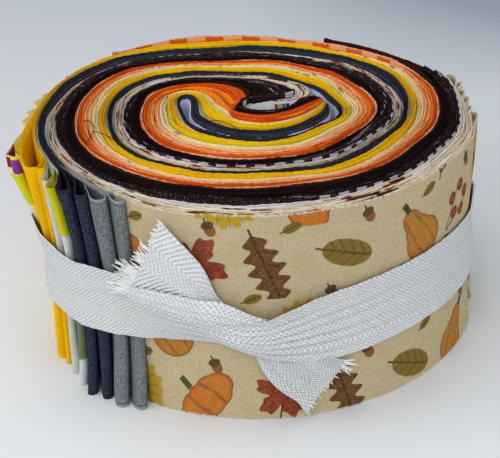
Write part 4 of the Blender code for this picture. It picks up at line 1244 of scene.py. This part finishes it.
def frayRow(grid, between, lengths, spread, lift, seed):
    # yarns that start along a cut edge and carry on the way the cloth runs there
    rng = np.random.default_rng(seed)
    at = np.interp(np.sort(rng.uniform(0, 1, len(lengths))), (0, 1), between)
    low = np.minimum(at.astype(int), grid.shape[1] - 2)
    part = (at - low)[:, None]
    edge, inside = (grid[r, low] * (1 - part) + grid[r, low + 1] * part for r in (-1, -5))
    across = unit(grid[-1, low + 1] - grid[-1, low])
    ways = unit(edge - inside)
    normals = unit(np.cross(across, ways))
    normals = normals * np.sign((normals * (edge * (1, 1, 0))).sum(axis=1, keepdims=True))
    ways = unit(ways + normals * rng.normal(lift, 0.12, (len(at), 1))
                + across * rng.normal(0, spread, (len(at), 1)))
    back, below = tape["rooted"]
    return yarns(edge - ways * back - normals * below, ways, lengths, normals, seed + 1)


def makeTape():
    upper, upperGrid = tapeUpperEnd()
    lower, lowerGrid = tapeLowerEnd()
    piece = meshObject("tie_tape", [tapeBand(), upper, lower], finishes["tape"],
                       wrap=tape["ring"])
    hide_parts("tie")
    rng = np.random.default_rng(77)
    frays = []
    for end, between, drawn, spread, lift, seed in tape["frays"]:
        grid = upperGrid if end == "upper" else lowerGrid
        frays.append(frayRow(grid, between, rng.uniform(*drawn), spread, lift, seed))
    meshObject("tie_fray", frays, finishes["yarn"])
    print("tape made", sum(row[2][2] for row in tape["frays"]), "frayed yarns")


makeTape()


# loose threads on the roll's top

looseThreads = {
    "radius": 0.11,        # mm
    "height": 64.1,        # mm above the floor
    # each thread's plan points in mm on the roll's top
    "routes": (
        ((-49.5, -3.0), (-48.3, -3.1), (-47.3, -4.2), (-46.3, -6.2), (-45.7, -8.8), (-45.7, -10.9),
         (-46.1, -13.7), (-46.7, -17.1), (-47.4, -19.8)),
        ((-50.4, -6.6), (-50.5, -9.4), (-49.9, -12.3), (-48.7, -15.6), (-47.3, -18.4)),
        ((-45.6, -10.9), (-44.4, -11.6), (-42.8, -13.1), (-41.1, -15.2), (-39.3, -17.1)),
        ((-14.5, -6.4), (-12.4, -6.4), (-10.6, -6.2), (-8.9, -6.9), (-7.1, -8.3), (-5.3, -10.3),
         (-3.9, -12.6), (-2.7, -13.9)),
        ((30.7, 30.1), (32.4, 31.9), (33.8, 32.6), (35.3, 32.3)),
        ((36.7, 29.0), (37.2, 24.8), (37.6, 21.4)),
        ((42.0, 12.1), (43.0, 10.0), (44.4, 9.1)),
        ((57.3, 25.3), (58.6, 23.5), (60.1, 25.5)),
        ((60.2, 16.8), (62.0, 18.2), (62.8, 22.3)),
    ),
}


def makeThreads():
    # each route lies on the strips' upper edges and rises a little in its middle
    parts = []
    sides = 5
    for number, route in enumerate(looseThreads["routes"]):
        line = curveThrough(route, 6)
        s = np.linspace(0, 1, len(line))
        high = looseThreads["height"] + 0.35 * np.sin(np.pi * s) + 0.15 * np.sin(7 * s + number)
        line = np.column_stack([line, high])[None]
        points, faces = tubes(line, looseThreads["radius"], (0.0, 0.0, 1.0), sides)
        a = np.linspace(0, 2 * np.pi, sides, endpoint=False)
        uv = np.stack(np.broadcast_arrays(s[:, None] * 20, a[None]), axis=2).reshape(-1, 2)
        parts.append((points, faces, uv, 0.5))
    meshObject("loose_threads", parts, finishes["brown"])
    print("threads made", len(parts))


makeThreads()


# camera, floor and light

view = {
    "distance": 430.018,            # mm from the roll's middle, at the photograph's own angle
    "tilt": 27.579,                 # degrees above it
    "roll": -2.175,
    "lens": 99.2563,                # mm, on a sensor 36 mm wide
    "aim": (-0.903, -7.978),        # mm to the right of the middle and above it
}
studio = {
    "floor": (0.73, 0.725, 0.715),
    "far": (0.06, 0.11, 0.19),      # painted shade: the darker, bluish colour that the floor leans to far behind and at the right
    "farShadeMost": 0.64,                # the most that it leans to it
    # the floor in metres: its near edge, where it starts to rise, how far it sweeps back and up,
    # the wall's top, half its width
    "sweep": (-1.6, 1.3, 0.6, 2.6, 3.0),
    "world": (0.75, 0.82, 0.9),
    "worldStrength": 0.78,
    "lightAim": (0, 0, 0.03),       # metres, where the lights point
    # soft lights: place in metres, power, width
    "lights": {"soft_top": ((-0.15, 0.1, 0.9), 2.8, 0.7), "soft_key": ((-0.5, -0.9, 0.75), 3.6, 0.6),
               "soft_left": ((-0.95, -0.1, 0.4), 1.7, 0.5), "soft_right": ((0.7, -0.8, 0.4), 1.9, 0.6)},
}


def makeCamera():
    tilt, roll = np.radians(view["tilt"]), np.radians(view["roll"])
    half = stripWidth / 2
    eye = Vector((0, -view["distance"] * np.cos(tilt), half + view["distance"] * np.sin(tilt)))
    aim = Vector((view["aim"][0], 0, half + view["aim"][1]))
    forward = (aim - eye).normalized()
    right = forward.cross(Vector((0, 0, 1))).normalized()
    up = right.cross(forward)
    across = right * np.cos(roll) + up * np.sin(roll)
    upward = up * np.cos(roll) - right * np.sin(roll)
    turn = Matrix((across, upward, -forward)).transposed()
    data = bpy.data.cameras.new("camera")
    data.sensor_width = 36
    data.sensor_fit = "HORIZONTAL"
    data.lens = view["lens"]
    data.clip_start = 0.01
    camera = bpy.data.objects.new("camera", data)
    camera.matrix_world = Matrix.Translation((eye - Vector((*middle, 0))) * mm) @ turn.to_4x4()
    bpy.context.scene.collection.objects.link(camera)
    bpy.context.scene.camera = camera


def makeFloor():
    # a floor that runs level, then sweeps up behind in a quarter ellipse to a wall; its colour
    # holds painted shade, darker and bluer further back and towards the far right corner
    near, bend, sweep, top, half = studio["sweep"]
    t = np.linspace(0, 1, 64) * np.pi / 2
    run = np.concatenate([np.linspace(near, bend, 20), bend + sweep * np.sin(t), [bend + sweep]])
    rise = np.concatenate([np.zeros(20), sweep * (1 - np.cos(t)), [top]])
    across = np.linspace(-half, half, 9)
    grid = np.stack(np.broadcast_arrays(across[None], run[:, None], rise[:, None]), axis=2)
    mesh = bpy.data.meshes.new("floor")
    mesh.from_pydata(grid.reshape(-1, 3).tolist(), [], gridFaces(*grid.shape[:2]).tolist())
    mesh.shade_smooth()
    material = bpy.data.materials.new("floor")
    material.use_nodes = True
    tree = material.node_tree
    shader = tree.nodes["Principled BSDF"]
    shader.inputs["Roughness"].default_value = 0.7
    shader.inputs["Specular IOR Level"].default_value = 0.2
    where = tree.nodes.new("ShaderNodeTexCoord")
    split = tree.nodes.new("ShaderNodeSeparateXYZ")
    tree.links.new(where.outputs["Object"], split.inputs[0])
    x, y = Field(tree, split.outputs[0]), Field(tree, split.outputs[1])
    # painted shade: the floor's colour leans to the dark bluish one behind, more to the right, and most in
    # the far right corner
    corner = x.most(0.0) * (y - 0.15).most(0.0) * 26.0
    far = (y.most(0.0) + x * 0.2 + corner).apply("ADD", 0.0, clamp=True)
    colour = mixColours(tree, studio["floor"], studio["far"], far.least(studio["farShadeMost"]))
    tree.links.new(colour, shader.inputs["Base Color"])
    mesh.materials.append(material)
    floor = bpy.data.objects.new("floor", mesh)
    bpy.context.scene.collection.objects.link(floor)


def makeLights():
    for name, (place, power, across) in studio["lights"].items():
        light = bpy.data.lights.new(name, "AREA")
        light.energy = power
        light.size = across
        lamp = bpy.data.objects.new(name, light)
        lamp.location = place
        way = Vector(studio["lightAim"]) - Vector(place)
        lamp.rotation_euler = way.to_track_quat("-Z", "Y").to_euler()
        bpy.context.scene.collection.objects.link(lamp)
    world = bpy.data.worlds.new("studio")
    world.use_nodes = True
    background = world.node_tree.nodes["Background"]
    background.inputs["Color"].default_value = (*studio["world"], 1)
    background.inputs["Strength"].default_value = studio["worldStrength"]
    bpy.context.scene.world = world
    bpy.context.scene.view_settings.view_transform = "Standard"


makeCamera()
makeFloor()
makeLights()
print("camera, floor and lights made")
bpy.context.view_layer.update()
